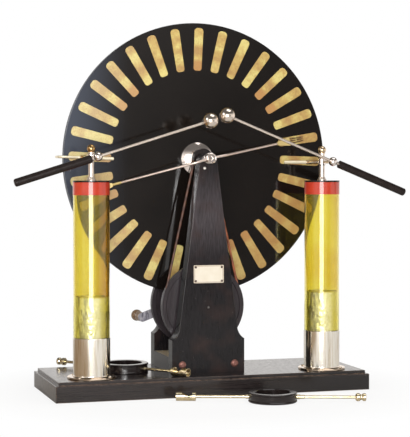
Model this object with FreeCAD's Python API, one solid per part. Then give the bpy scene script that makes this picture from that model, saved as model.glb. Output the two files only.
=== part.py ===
import FreeCAD, Part
import math
import os

# Influence machine with two contra-rotating sectored plates, two storage jars and a rear crank.
# Frame: X to the right along the base, Y to the back, Z up, origin at the centre of the base underside.
# All lengths in millimetres, all angles in degrees.

V = FreeCAD.Vector
X_AXIS = V(1, 0, 0)
Y_AXIS = V(0, 1, 0)
Z_AXIS = V(0, 0, 1)

# ---------------------------------------------------------------- driving dimensions
# base board
base_length = 406.0
base_depth = 150.0
slab_height = 20.2
moulding_height = 4.2
step_inset = 4.0
edge_round = 0.8

# uprights and the block that joins their feet
upright_thickness = 18.0
upright_clear = 71.0
foot_half_width = 47.6
foot_height = 42.0
shoulder_rise = 14.0
neck_half_width = 38.4
top_half_width = 11.6
top_above_axle = 7.0
block_height = 19.2

# plates
plate_radius = 175.0
plate_thickness = 3.0
plate_gap = 4.0
plate_offset = 3.5
sector_count = 32
sector_length = 55.0
sector_rim_gap = 6.2
sector_width_inner = 10.6
sector_width_outer = 12.0
sector_thickness = 0.3
sector_phase_front = 0.7
sector_phase_rear = 4.2
sector_skew = 1.6

# axle, hubs and belts
axle_radius = 3.0
running_clearance = 0.05
hub_groove_pitch = 10.3
belt_ratio = 5.0
belt_radius = 1.5
belt_clearance = 0.3
groove_setback = 9.5
hub_rim_over_pitch = 2.6
pulley_rim_over_pitch = 2.8
pulley_width = 8.0
hub_flange_radius = 21.0
hub_flange_depth = 6.0
hub_flange_edge = 1.2
crossing_offset = 1.9

# crank shaft and crank
shaft_under_plates = 13.0
pulleys_over_block = 9.1
shaft_radius = 3.0
journal_radius = 1.5
journal_length = 4.0
crank_radius = 61.5
crank_droop = 20.2
crank_arm_thickness = 5.0
crank_arm_half_width = 5.8
grip_radius = 6.2
grip_length = 18.5
grip_knob_radius = 7.6

# neutralisers
collar_radius = 6.7
collar_length = 11.0
collar_eye_radius = 2.0
collar_lip = 1.6
front_tilt_right = 10.6
front_tilt_left = 16.3
rear_tilt_right = 13.0
rear_tilt_left = 13.0
neutraliser_rod_radius = 1.6
neutraliser_straight = 20.0
neutraliser_bend = 14.0
brush_from_rim = 26.0
front_left_brush_from_rim = 17.0
brush_length = 20.0
brush_gap = 0.4
holder_length = 18.0
holder_base = 2.3
holder_mouth = 5.8
holder_thick = 2.4
holder_stand_off = 6.2
holder_lean = 3.0

# jars
jar_from_rim = 23.5
jar_from_front = 36.0
glass_radius = 22.4
glass_wall = 2.0
glass_floor = 2.5
cup_wall = 0.6
cup_height = 50.0
cup_flange_radius = 30.2
cup_flange_thickness = 2.4
red_band_height = 16.0
foil_height = 100.6
foil_thickness = 0.4
lid_thickness = 1.8

# posts, collectors and discharge arms
post_radius = 3.6
post_head_radius = 5.0
post_head_height = 9.0
finial_radius = 5.2
finial_over_lid = 39.2
post_rise = 28.8
head_over_axle_left = 1.0
head_over_axle_right = -4.0
arm_tilt_left = 17.5
arm_tilt_right = 21.85
stub_radius = 1.9
ball_forward = 38.0
ball_radius = 5.7
arm_rod_radius = 1.7
sphere_radius = 9.75
spheres_apart = 1.8
spheres_shift = 0.8
handle_radius = 4.9
handle_length = 98.0
handle_start = 8.0
comb_from_plate = 7.7
comb_rod_radius = 1.5
comb_bar_radius = 2.1
comb_bar_length = 30.0
comb_bar_from_rim = 28.0
comb_bend_beyond_plate = 12.0
comb_inset_left = 5.0
comb_inset_right = 0.0
comb_turn_left = 2.0
comb_turn_right = 0.0
comb_bend_radius = 6.0
comb_point_length = 3.4
comb_point_count = 7

# loose spark-gap rings
ring_radius = 29.6
ring_bore = 21.5
ring_height = 11.8
ring_rod_radius = 1.9
ring_tip_reach = 13.5
ring_tube_length = 24.0
ring_tube_radius = 5.4
ring_tube_wall = 0.8
front_ring_x = 51.0
front_ring_y = -134.5
front_ring_heading = -18.5
front_ring_knob_end = 112.6
front_ring_tube_end = 117.0
rear_ring_share = 0.495
rear_ring_y = 4.0
rear_ring_heading = 130.0
rear_ring_knob_end = 108.5
rear_ring_tube_end = 97.0

# ---------------------------------------------------------------- derived positions
base_height = slab_height + moulding_height
rear_upright_outer = base_depth / 2 - step_inset
rear_upright_inner = rear_upright_outer - upright_thickness
front_upright_inner = rear_upright_inner - upright_clear
front_upright_outer = front_upright_inner - upright_thickness
plates_mid = (front_upright_inner + rear_upright_inner) / 2 + plate_offset
front_plate_back = plates_mid - plate_gap / 2
front_plate_face = front_plate_back - plate_thickness
rear_plate_back = plates_mid + plate_gap / 2
rear_plate_face = rear_plate_back + plate_thickness
front_belt_y = front_upright_inner + groove_setback
rear_belt_y = rear_upright_inner - groove_setback
pulley_pitch = hub_groove_pitch * belt_ratio
pulley_outer = pulley_pitch + pulley_rim_over_pitch
shaft_height = base_height + block_height + pulleys_over_block + pulley_outer
axle_height = shaft_height + shaft_under_plates + plate_radius
sector_outer = plate_radius - sector_rim_gap
sector_inner = sector_outer - sector_length
brush_reach = plate_radius - brush_from_rim
front_left_brush_reach = plate_radius - front_left_brush_from_rim
jar_x = plate_radius - jar_from_rim
comb_bar_outer = plate_radius - comb_bar_from_rim
jar_y = -base_depth / 2 + jar_from_front
side_sign = {"left": -1.0, "right": 1.0}
head_height = {"left": axle_height + head_over_axle_left, "right": axle_height + head_over_axle_right}
arm_tilt = {"left": arm_tilt_left, "right": arm_tilt_right}
comb_inset = {"left": comb_inset_left, "right": comb_inset_right}
comb_turn = {"left": comb_turn_left, "right": comb_turn_right}
jar_top = head_height["left"] - post_rise - lid_thickness
jar_height = jar_top - base_height
rear_ring_x = -foot_half_width - rear_ring_share * (jar_x - foot_half_width)
ball_y = jar_y - ball_forward
comb_front_y = front_plate_face - comb_from_plate
comb_rear_y = rear_plate_face + comb_from_plate

os.makedirs("parts", exist_ok=True)


# ---------------------------------------------------------------- helpers
def save(name, solids):
    """Write one named node from a list of solids that do not overlap."""
    shape = solids[0] if len(solids) == 1 else Part.makeCompound(solids)
    shape.exportStep("parts/" + name + ".step")


def frame_at(origin, direction, sideways=None):
    """Placement whose local Z lies along direction and, if given, whose local X leans to sideways."""
    z = V(direction).normalize()
    x = V(sideways) if sideways else (X_AXIS if abs(z.x) < 0.9 else Y_AXIS)
    x = (x - z * x.dot(z)).normalize()
    y = z.cross(x)
    matrix = FreeCAD.Matrix(x.x, y.x, z.x, origin.x, x.y, y.y, z.y, origin.y, x.z, y.z, z.z, origin.z, 0, 0,
                            0, 1)
    return FreeCAD.Placement(matrix)


def wire_from(path):
    """Closed wire in the local XZ plane: (r, h) is a line end, (rm, hm, r, h) an arc through (rm, hm)."""
    edges = []
    here = path[0]
    for step in path[1:] + [path[0]]:
        end = step[-2:]
        start_point = V(here[0], 0, here[1])
        end_point = V(end[0], 0, end[1])
        if len(step) == 4:
            edges.append(Part.Arc(start_point, V(step[0], 0, step[1]), end_point).toShape())
        elif start_point.distanceToPoint(end_point) > 1e-6:
            edges.append(Part.LineSegment(start_point, end_point).toShape())
        here = end
    return Part.Wire(edges)


def turned(path, origin, direction):
    """Solid of revolution: the path gives (radius, height along direction from origin)."""
    solid = Part.Face(wire_from(path)).revolve(V(0, 0, 0), Z_AXIS, 360)
    solid.Placement = frame_at(origin, direction)
    return solid


def rod(start, end, radius):
    """Plain round rod between two points."""
    return Part.makeCylinder(radius, (end - start).Length, start, end - start)


def ball(centre, radius):
    """Sphere whose seam axis is vertical."""
    return Part.makeSphere(radius, centre)


def slab(x0, x1, y0, y1, z0, z1):
    """Plain block between two corners."""
    return Part.makeBox(x1 - x0, y1 - y0, z1 - z0, V(x0, y0, z0))


def bent_rod(points, bend, radius):
    """Round rod that follows straight legs with the same bend radius at each inner corner."""
    edges = []
    start = points[0]
    for before, corner, after in zip(points[:-2], points[1:-1], points[2:]):
        into = (corner - before).normalize()
        out = (after - corner).normalize()
        half = math.acos(max(-1.0, min(1.0, into.dot(out)))) / 2
        setback = bend * math.tan(half)
        first = corner - into * setback
        last = corner + out * setback
        inward = (out - into).normalize()
        middle = corner + inward * (bend / math.cos(half) - bend)
        edges.append(Part.LineSegment(start, first).toShape())
        edges.append(Part.Arc(first, middle, last).toShape())
        start = last
    edges.append(Part.LineSegment(start, points[-1]).toShape())
    profile = Part.Wire(Part.Circle(points[0], points[1] - points[0], radius).toShape())
    return Part.Wire(edges).makePipeShell([profile], True, False)


def domed_screw(seat, outward, head_radius, head_height, shank_radius, shank_length, slot):
    """Slotted round-head screw: seat is the point where the head meets the surface."""
    back = V(outward) * -1
    head = turned([(0, 0), (head_radius, 0), (head_radius * 0.78, head_height * 0.78, 0, head_height)],
                  seat, outward)
    shank = Part.makeCylinder(shank_radius, shank_length, seat, back)
    screw = head.fuse(shank).removeSplitter()
    across = frame_at(seat, outward)
    groove = Part.makeBox(head_radius * 2.4, slot, head_height,
                          V(-head_radius * 1.2, -slot / 2, head_height * 0.55))
    groove.Placement = across
    return screw.cut(groove)


def pulley_rim(pitch, rim, half_width, centre):
    """Rim part of a revolve path: a round-bottomed groove that clears the belt by belt_clearance."""
    g = belt_radius + belt_clearance
    lip = g + (rim - pitch) * 0.2
    return [(rim, centre - half_width), (rim, centre - lip), (pitch, centre - g),
            (pitch - g, centre, pitch, centre + g), (rim, centre + lip), (rim, centre + half_width)]


# ---------------------------------------------------------------- base board with its stepped top edge
slab_part = slab(-base_length / 2, base_length / 2, -base_depth / 2, base_depth / 2, 0, slab_height)
top_part = slab(-base_length / 2 + step_inset, base_length / 2 - step_inset,
                -base_depth / 2 + step_inset, base_depth / 2 - step_inset, slab_height, base_height)
base = slab_part.fuse(top_part).removeSplitter()
outer_edges = [e for e in base.Edges if e.BoundBox.ZMin > -0.01 and (
    abs(e.BoundBox.ZMin - e.BoundBox.ZMax) > 1 or abs(e.BoundBox.ZMin - base_height) < 0.01
    or (abs(e.BoundBox.ZMin - slab_height) < 0.01 and (abs(abs(e.CenterOfMass.x) - base_length / 2) < 0.01
                                                      or abs(abs(e.CenterOfMass.y) - base_depth / 2) < 0.01)))]
base = base.makeFillet(edge_round, outer_edges)

# countersunk screws that come up through the board into the cross block
base_screw_radius = 2.4
base_screw_head = 4.8
base_screw_depth = 34.0
base_screw_spots = [V(sx * foot_half_width * 0.62,
                      (front_upright_inner + rear_upright_inner) / 2 + sy * 24.0, 0)
                    for sx in (-1, 1) for sy in (-1, 1)]


def countersunk(seat):
    """Countersunk wood screw standing up from the underside, sunk 0.6 below the surface."""
    sink = 0.6
    cone = base_screw_head - base_screw_radius
    body = turned([(0, sink), (base_screw_head, sink), (base_screw_radius, sink + cone),
                   (base_screw_radius, base_screw_depth - 4), (0.3, base_screw_depth), (0,
                           base_screw_depth)],
                  seat, Z_AXIS)
    return body.cut(slab(seat.x - 6, seat.x + 6, seat.y - 0.5, seat.y + 0.5, sink - 1, sink + 1.2))


base_screws = [countersunk(spot) for spot in base_screw_spots]
for spot in base_screw_spots:
    well = turned([(0, 0), (base_screw_head, 0), (base_screw_head, 0.6),
                   (base_screw_radius, 0.6 + base_screw_head
                   - base_screw_radius), (base_screw_radius, base_height), (0, base_height)], spot, Z_AXIS)
    base = base.cut(well)

# ---------------------------------------------------------------- cross block between the feet
block = slab(-foot_half_width, foot_half_width, front_upright_inner, rear_upright_inner,
             base_height, base_height + block_height)
block = block.makeChamfer(0.6, [e for e in block.Edges if abs(e.BoundBox.ZMin - base_height - block_height) < 0.01
                                and e.BoundBox.YLength > 10])
for spot in base_screw_spots:
    pilot = turned([(0, 0), (base_screw_radius, 0), (base_screw_radius, base_screw_depth - 4),
                    (0.3, base_screw_depth), (0, base_screw_depth)], spot, Z_AXIS)
    block = block.cut(pilot)

# ---------------------------------------------------------------- uprights
bolt_x = 34.4
bolt_z = base_height + block_height * 0.56
bolt_shank = 2.2
bolt_shank_length = upright_thickness + 16.0
bolt_head = 4.9
axle_bush_radius = 5.2
shaft_bush_radius = 5.0
keeper_spot_x = -5.3
keeper_drop = 12.4
keeper_head = 1.9
small_screw_head = 1.5
small_screw_shank = 0.8
small_screw_length = 6.0

top_centre = axle_height + top_above_axle - top_half_width
foot_top = base_height + foot_height
neck_z = foot_top + shoulder_rise


def upright(outer_y, inner_y, blind):
    """Tapering board with a broad shouldered foot and a round top, drilled for both bushes and its bolts.

    The lower hole stops short of the outer face by blind, with a small eye through the rest.
    """
    y0 = min(outer_y, inner_y)
    mid_w = (neck_half_width + foot_half_width) / 2 - 1.2
    mid_z = (neck_z + foot_top) / 2 - 1.6
    outline = [(-foot_half_width, base_height), (foot_half_width, base_height), (foot_half_width, foot_top),
               (mid_w, mid_z, neck_half_width, neck_z), (top_half_width, top_centre),
               (0, top_centre + top_half_width, -top_half_width, top_centre), (-neck_half_width, neck_z),
               (-mid_w, mid_z, -foot_half_width, foot_top)]
    face = Part.Face(wire_from(outline))
    face.translate(V(0, y0, 0))
    board = face.extrude(V(0, abs(outer_y - inner_y), 0))
    rounded = [e for e in board.Edges if abs(e.BoundBox.YMin - outer_y) < 0.01 and abs(e.BoundBox.YMax - outer_y) < 0.01
               and e.BoundBox.ZMax > base_height + 1]
    board = board.makeFillet(edge_round, rounded)
    through = abs(outer_y - inner_y)
    way = 1 if inner_y > outer_y else -1
    for height, radius, start in ((axle_height, axle_bush_radius, 0),
                                  (shaft_height, shaft_bush_radius, blind),
                                  (shaft_height, journal_radius + 0.3, 0)):
        board = board.cut(Part.makeCylinder(radius, through - start, V(0, outer_y + way * start, height),
                                            Y_AXIS * way))
    for side in (-1, 1):
        board = board.cut(Part.makeCylinder(bolt_shank, through, V(side * bolt_x, y0, bolt_z), Y_AXIS))
    return board


front_upright = upright(front_upright_outer, front_upright_inner, journal_length)
rear_upright = upright(rear_upright_outer, rear_upright_inner, 0)
for side in (-1, 1):
    for start, way in ((front_upright_inner, 1), (rear_upright_inner, -1)):
        block = block.cut(Part.makeCylinder(bolt_shank, 16.0, V(side * bolt_x, start, bolt_z),
                                            Y_AXIS * way))

upright_bolts = [domed_screw(V(side * bolt_x, outer, bolt_z), Y_AXIS * way, bolt_head, 2.2, bolt_shank,
                             bolt_shank_length, 1.0)
                 for side in (-1, 1) for outer, way in ((front_upright_outer, -1), (rear_upright_outer, 1))]

# ---------------------------------------------------------------- blank nameplate
plate_w = 39.6
plate_h = 22.7
plate_t = 0.8
plate_z = shaft_height + 42.2
plate_hole_inset = 2.6
name_plate = slab(-plate_w / 2, plate_w / 2, front_upright_outer - plate_t, front_upright_outer,
                  plate_z - plate_h / 2, plate_z + plate_h / 2)
name_plate = name_plate.makeFillet(1.4, [e for e in name_plate.Edges if e.BoundBox.YLength > 0.5])
plate_spots = [V(sx * (plate_w / 2 - plate_hole_inset), 0, plate_z + sz * (plate_h / 2 - plate_hole_inset))
               for sx in (-1, 1) for sz in (-1, 1)]
small_spots = [V(p.x, front_upright_outer - plate_t, p.z) for p in plate_spots]
small_spots.append(V(keeper_spot_x, front_upright_outer, axle_height - keeper_drop))
for spot in small_spots:
    pilot = Part.makeCylinder(small_screw_shank, small_screw_length, spot, Y_AXIS)
    name_plate = name_plate.cut(pilot)
    front_upright = front_upright.cut(pilot)
small_screws = [domed_screw(spot, Y_AXIS * -1, keeper_head if spot.x == keeper_spot_x else small_screw_head,
                            0.9,
                            small_screw_shank, small_screw_length, 0.35) for spot in small_spots]

# ---------------------------------------------------------------- bushes in the uprights
bush_flange = 1.6


def bush(outer_y, inner_y, height, outer_radius, bore, flange_radius, flange_side):
    """Flanged sleeve that lines an upright's hole; the flange lies on the outer or on the inner face."""
    way = 1 if inner_y > outer_y else -1
    length = abs(inner_y - outer_y)
    if flange_side == "outer":
        path = [(bore, -bush_flange), (flange_radius - 0.5, -bush_flange),
                (flange_radius, -bush_flange + 0.5),
                (flange_radius, 0), (outer_radius, 0), (outer_radius, length), (bore, length)]
    else:
        path = [(bore, 0), (outer_radius, 0), (outer_radius, length), (flange_radius, length),
                (flange_radius, length + bush_flange - 0.5), (flange_radius - 0.5, length + bush_flange),
                (bore, length + bush_flange)]
    return turned(path, V(0, outer_y, height), Y_AXIS * way)


axle_bushes = [bush(outer, inner, axle_height, axle_bush_radius, axle_radius, 6.6, "outer")
               for outer, inner in ((front_upright_outer, front_upright_inner),
                                    (rear_upright_outer, rear_upright_inner))]
shaft_bore = shaft_radius + running_clearance
shaft_bushes = [bush(outer, inner, shaft_height, shaft_bush_radius, shaft_bore, 8.0, "inner")
                for outer, inner in ((front_upright_outer + journal_length, front_upright_inner),
                                     (rear_upright_outer, rear_upright_inner))]

# ---------------------------------------------------------------- fixed main axle and its centre washer
end_gap = 0.5
collar_front = front_upright_outer - bush_flange - end_gap - collar_length
collar_rear = rear_upright_outer + bush_flange + end_gap + collar_length
axle_sink = collar_lip + 0.5
axle = turned([(0.7, 0), (axle_radius - 0.4, 0), (axle_radius, 0.4),
               (axle_radius, collar_rear - collar_front - 2 * axle_sink - 0.4),
               (axle_radius - 0.4, collar_rear - collar_front - 2 * axle_sink),
               (0.7, collar_rear - collar_front - 2 * axle_sink),
               (0.7, collar_rear - collar_front - 2 * axle_sink - 1.5),
               (0, collar_rear - collar_front - 2 * axle_sink - 2.0),
               (0, 2.0), (0.7, 1.5)], V(0, collar_front + axle_sink, axle_height), Y_AXIS)
washer_half = 0.5
washer = turned([(axle_radius, -washer_half), (7.0, -washer_half), (7.0, washer_half),
                 (axle_radius, washer_half)],
                V(0, plates_mid, axle_height), Y_AXIS)

# ---------------------------------------------------------------- plates, sectors and hubs
hub_seat_radius = 8.5
hub_bore = axle_radius + running_clearance
hub_nose_radius = 6.8
hub_neck_radius = 8.0
hub_rim = hub_groove_pitch + hub_rim_over_pitch
hub_half_width = 4.4


def plate(face_y, back_y):
    """Flat plate bored to sit on its hub; the rim is slightly rounded."""
    y0 = min(face_y, back_y)
    r = plate_radius
    path = [(hub_seat_radius, 0), (r - 0.6, 0), (r, 0.6), (r, plate_thickness - 0.6),
            (r - 0.6, plate_thickness), (hub_seat_radius, plate_thickness)]
    return turned(path, V(0, y0, axle_height), Y_AXIS)


def sector(face_y, way, angle):
    """One foil sector: a tapering strip with rounded ends, glued on the plate's outer face."""
    wi = sector_width_inner / 2
    wo = sector_width_outer / 2
    ri = 3.4
    ro = 4.6
    k = 0.2929
    path = [(-wi + ri, sector_inner), (wi - ri, sector_inner),
            (wi - ri * k, sector_inner + ri * k, wi, sector_inner + ri),
            (wo, sector_outer - ro), (wo - ro * k, sector_outer - ro * k, wo - ro, sector_outer),
            (-wo + ro, sector_outer), (-wo + ro * k, sector_outer - ro * k, -wo, sector_outer - ro),
            (-wi, sector_inner + ri), (-wi + ri * k, sector_inner + ri * k, -wi + ri, sector_inner)]
    strip = Part.Face(wire_from(path)).extrude(V(0, way * sector_thickness, 0))
    strip.rotate(V(0, 0, (sector_inner + sector_outer) / 2), Y_AXIS, sector_skew * -way)
    strip.rotate(V(0, 0, 0), Y_AXIS, angle)
    strip.translate(V(0, face_y, axle_height))
    return strip


def sectors(face_y, way, phase):
    """The whole circle of sectors on one plate."""
    return [sector(face_y, way, phase + i * 360.0 / sector_count) for i in range(sector_count)]


def hub(upright_inner, belt_y, face_y, back_y):
    """Turned boss with a belt groove; it carries the plate on a spigot and runs on the axle."""
    way = 1 if face_y > upright_inner else -1
    start = end_gap
    groove = abs(belt_y - upright_inner)
    seat = abs(face_y - upright_inner) - hub_flange_depth
    spigot = abs(back_y - upright_inner)
    cap = spigot + plate_gap / 2 - washer_half - 0.3
    path = [(hub_bore, start), (hub_nose_radius - 0.5, start), (hub_nose_radius, start + 0.5),
            (hub_nose_radius, groove - hub_half_width)]
    path += pulley_rim(hub_groove_pitch, hub_rim, hub_half_width, groove)
    path += [(hub_neck_radius, groove + hub_half_width), (hub_neck_radius, seat), (hub_seat_radius, seat),
             (hub_seat_radius, spigot), (hub_seat_radius, cap), (hub_bore, cap)]
    return turned(path, V(0, upright_inner, axle_height), Y_AXIS * way)


def hub_flange(face_y, way):
    """Domed flange that clamps the plate: flat back, thin edge and a spherical face that rises to the neck."""
    d = hub_flange_depth
    r = hub_flange_radius
    e = hub_flange_edge
    drop = (r * r - hub_seat_radius * hub_seat_radius - (d - e) ** 2) / (2 * (d - e))
    ball_r = math.hypot(r, drop)
    mid_r = (r + hub_seat_radius) / 2
    mid_h = e - drop + math.sqrt(ball_r * ball_r - mid_r * mid_r)
    path = [(hub_seat_radius, 0), (r, 0), (r, e), (mid_r, mid_h, hub_seat_radius, d)]
    return turned(path, V(0, face_y, axle_height), Y_AXIS * way)


front_hub = hub(front_upright_inner, front_belt_y, front_plate_face, front_plate_back)
rear_hub = hub(rear_upright_inner, rear_belt_y, rear_plate_face, rear_plate_back)

# ---------------------------------------------------------------- neutralisers
def neutraliser(collar_outer, face_y, way, tilts, reaches):
    """Collar on the axle end, two cranked rods and their flat flared brush holders; returns three lists."""
    mid = collar_outer - way * collar_length / 2
    tip_y = face_y + way * (sector_thickness + brush_gap)
    collar = turned([(collar_eye_radius, 0.4), (collar_eye_radius + 0.4, 0), (collar_radius - 1.9, 0),
                     (collar_radius - 1.5, 0.5), (collar_radius - 0.7, 0), (collar_radius,
                             0.7), (collar_radius, 2.6), (collar_radius - 0.5, 3.0),
                     (collar_radius - 0.5, collar_length - 2.4), (collar_radius, collar_length - 2.0),
                     (collar_radius, collar_length - 0.4), (collar_radius - 0.4, collar_length),
                     (hub_bore, collar_length), (hub_bore, collar_lip), (collar_eye_radius, collar_lip)],
                    V(0, collar_outer, axle_height), Y_AXIS * -way)
    rods = []
    brushes = []
    seat = collar_radius - 2.2
    holder_y = tip_y + way * holder_stand_off
    for angle, reach in ((tilts[0], reaches[0]), (180 + tilts[1], reaches[1])):
        a = math.radians(angle)
        holder_start = reach - brush_length - holder_length
        out = V(math.cos(a), 0, math.sin(a))
        hub_point = V(0, mid, axle_height)
        run = [hub_point + out * seat, hub_point + out * neutraliser_straight,
               V(0, holder_y, axle_height) + out * holder_start]
        stick = bent_rod(run, neutraliser_bend, neutraliser_rod_radius)
        collar = collar.cut(rod(run[0], hub_point + out * (collar_radius + 2), neutraliser_rod_radius))
        lower = Part.Face(wire_from([(-holder_base, 0), (holder_base, 0), (holder_mouth, holder_length),
                                     (-holder_mouth, holder_length)]))
        holder = lower.extrude(V(0, holder_thick, 0))
        holder.translate(V(0, -holder_thick / 2, 0))
        lean = V(0, -way * holder_lean, 0) + out * holder_length
        holder_root = V(0, holder_y, axle_height) + out * (holder_start - neutraliser_rod_radius)
        holder.Placement = frame_at(holder_root, lean, V(-math.sin(a), 0, math.cos(a)))
        rods.append(stick.fuse(holder).removeSplitter())
        tuft_start = holder_root + lean.normalize() * holder_length
        end_point = V(0, tip_y + way * 0.5, axle_height) + out * reach
        along = end_point - tuft_start
        tuft = Part.makeLoft([
            tuft_section(tuft_start, lean, a, holder_mouth * 0.86, holder_thick * 0.42),
            tuft_section(tuft_start + along * 0.5, along, a, holder_mouth * 0.78, 0.75),
            tuft_section(end_point, along, a, holder_mouth * 0.66, 0.45)], True, True)
        brushes.append(tuft)
    return [collar], rods, brushes


def tuft_section(centre, along, angle, half_width, half_thick):
    """Rectangular cross-section of a brush tuft, square to its length."""
    placement = frame_at(centre, along, V(-math.sin(angle), 0, math.cos(angle)))
    corners = [V(-half_width, -half_thick, 0), V(half_width, -half_thick, 0), V(half_width, half_thick, 0),
               V(-half_width, half_thick, 0)]
    loop = Part.makePolygon([placement.multVec(c) for c in corners + corners[:1]])
    return loop


front_neutraliser = neutraliser(collar_front, front_plate_face, -1, (front_tilt_right, front_tilt_left),
                                (brush_reach, front_left_brush_reach))
rear_neutraliser = neutraliser(collar_rear, rear_plate_face, 1, (-rear_tilt_right, -rear_tilt_left),
                               (brush_reach, brush_reach))

# ---------------------------------------------------------------- crank shaft, drive pulleys and belts
shaft_start = front_upright_outer + journal_length + 0.4
crank_start = rear_upright_outer + 2.5
crank_hub_length = 8.0
nut_thickness = 4.0
shaft_end = crank_start + crank_hub_length + nut_thickness + 1.5
shaft_length = shaft_end - shaft_start
journal_reach = shaft_start - front_upright_outer
shaft = turned([(0, -journal_reach), (journal_radius - 0.3, -journal_reach),
                (journal_radius, 0.3 - journal_reach),
                (journal_radius, 0), (shaft_radius, 0), (shaft_radius, shaft_length - 0.6),
                (shaft_radius - 0.6, shaft_length), (0, shaft_length)], V(0, shaft_start,
                        shaft_height), Y_AXIS)


def drive_pulley(belt_y, way):
    """Large grooved pulley with a boss on the side that faces the plates."""
    half = pulley_width / 2
    rim = pulley_outer
    path = [(shaft_radius, -half), (9.0, -half), (9.6, -half + 0.8), (rim - 6.0, -half + 0.8),
            (rim - 5.2, -half)]
    path += pulley_rim(pulley_pitch, rim, half, 0)
    path += [(rim - 5.2, half), (rim - 6.0, half - 0.8), (14.5, half - 0.8), (13.0, half + 6.0),
             (shaft_radius, half + 6.0)]
    return turned(path, V(0, belt_y, shaft_height), Y_AXIS * way)


front_pulley = drive_pulley(front_belt_y, 1)
rear_pulley = drive_pulley(rear_belt_y, -1)


def arc_on(centre_z, radius, belt_y, start, middle, end):
    """Arc of a belt centre line round a pulley, by three angles from +X towards +Z."""
    spots = [V(radius * math.cos(math.radians(a)), belt_y, centre_z + radius * math.sin(math.radians(a)))
             for a in (start, middle, end)]
    return Part.Arc(spots[0], spots[1], spots[2]).toShape()


def belt_solid(edges, start, tangent):
    """Sweep the round belt section along its closed centre line."""
    section = Part.Wire(Part.Circle(start, tangent, belt_radius).toShape())
    return Part.Wire(edges).makePipeShell([section], True, True)


def open_belt(belt_y):
    """Belt whose two runs lie outside both pulleys, so both turn the same way."""
    lean = math.degrees(math.asin((pulley_pitch - hub_groove_pitch) / (axle_height - shaft_height)))
    top = arc_on(axle_height, hub_groove_pitch, belt_y, lean, 90, 180 - lean)
    bottom = arc_on(shaft_height, pulley_pitch, belt_y, 180 - lean, 270, 360 + lean)
    left = Part.LineSegment(top.Vertexes[-1].Point, bottom.Vertexes[0].Point).toShape()
    right = Part.LineSegment(bottom.Vertexes[-1].Point, top.Vertexes[0].Point).toShape()
    tangent = right.Vertexes[-1].Point - right.Vertexes[0].Point
    return belt_solid([top, left, bottom, right], top.Vertexes[0].Point, tangent)


def crossed_run(start, end, bow):
    """One run of the crossed belt: leaves and meets the pulleys in their plane and bows clear of the other run."""
    whole = end - start
    cross = start + whole * (abs(start.x) / (abs(start.x) + abs(end.x)))
    cross = cross + V(0, bow, 0)
    late = start + whole * 0.62 + V(0, bow * 0.45, 0)
    curve = Part.BSplineCurve()
    unit = V(whole).normalize()
    curve.interpolate(Points=[start, cross, late, end], InitialTangent=unit, FinalTangent=unit)
    return curve.toShape()


def crossed_belt(belt_y):
    """Belt whose runs cross between the pulleys, so the plate turns against the crank."""
    lean = math.degrees(math.asin((pulley_pitch + hub_groove_pitch) / (axle_height - shaft_height)))
    top = arc_on(axle_height, hub_groove_pitch, belt_y, -lean, 90, 180 + lean)
    bottom = arc_on(shaft_height, pulley_pitch, belt_y, lean, -90, -180 - lean)
    first = crossed_run(top.Vertexes[-1].Point, bottom.Vertexes[0].Point, crossing_offset)
    second = crossed_run(bottom.Vertexes[-1].Point, top.Vertexes[0].Point, -crossing_offset)
    tangent = V(math.sin(math.radians(lean)), 0, math.cos(math.radians(lean)))
    return belt_solid([top, first, bottom, second], top.Vertexes[0].Point, tangent)


front_belt = open_belt(front_belt_y)
rear_belt = crossed_belt(rear_belt_y)

# ---------------------------------------------------------------- crank
pin_radius = 2.4
droop = math.radians(crank_droop)
crank_dir = V(-math.cos(droop), 0, -math.sin(droop))
pin_base = V(0, crank_start, shaft_height) + crank_dir * crank_radius
grip_start = crank_start + crank_arm_thickness + 1.4 + 0.4
grip_end = grip_start + grip_length
knob_neck = 3.4
knob_centre = grip_end + 1.2 + math.sqrt(grip_knob_radius ** 2 - knob_neck ** 2)
pin_end = knob_centre + 2.0
arm_centre = V(0, crank_start, shaft_height)
arm_side = V(-crank_dir.z, 0, crank_dir.x)
w = crank_arm_half_width
arm_edges = [Part.LineSegment(arm_centre + arm_side * w, pin_base + arm_side * w).toShape(),
             Part.Arc(pin_base + arm_side * w, pin_base + crank_dir * w, pin_base - arm_side * w).toShape(),
             Part.LineSegment(pin_base - arm_side * w, arm_centre - arm_side * w).toShape(),
             Part.Arc(arm_centre - arm_side * w, arm_centre - crank_dir * w,
                      arm_centre + arm_side * w).toShape()]
arm_bar = Part.Face(Part.Wire(arm_edges)).extrude(V(0, crank_arm_thickness, 0))
arm_bar = arm_bar.makeFillet(0.9, [e for e in arm_bar.Edges if e.BoundBox.YLength < 0.01])
arm_hub = turned([(shaft_radius, 0), (8.4, 0), (9.0, 0.6), (9.0, crank_hub_length - 0.6),
                  (8.4, crank_hub_length),
                  (shaft_radius, crank_hub_length)], arm_centre, Y_AXIS)
arm_boss = Part.makeCylinder(4.6, crank_arm_thickness + 1.4, pin_base, Y_AXIS)
arm_pin = Part.makeCylinder(pin_radius, pin_end - crank_start, pin_base, Y_AXIS)
crank_arm = arm_bar.cut(rod(arm_centre, arm_centre + Y_AXIS * crank_hub_length, shaft_radius))
crank_arm = crank_arm.fuse([arm_hub, arm_boss, arm_pin]).removeSplitter()

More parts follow.
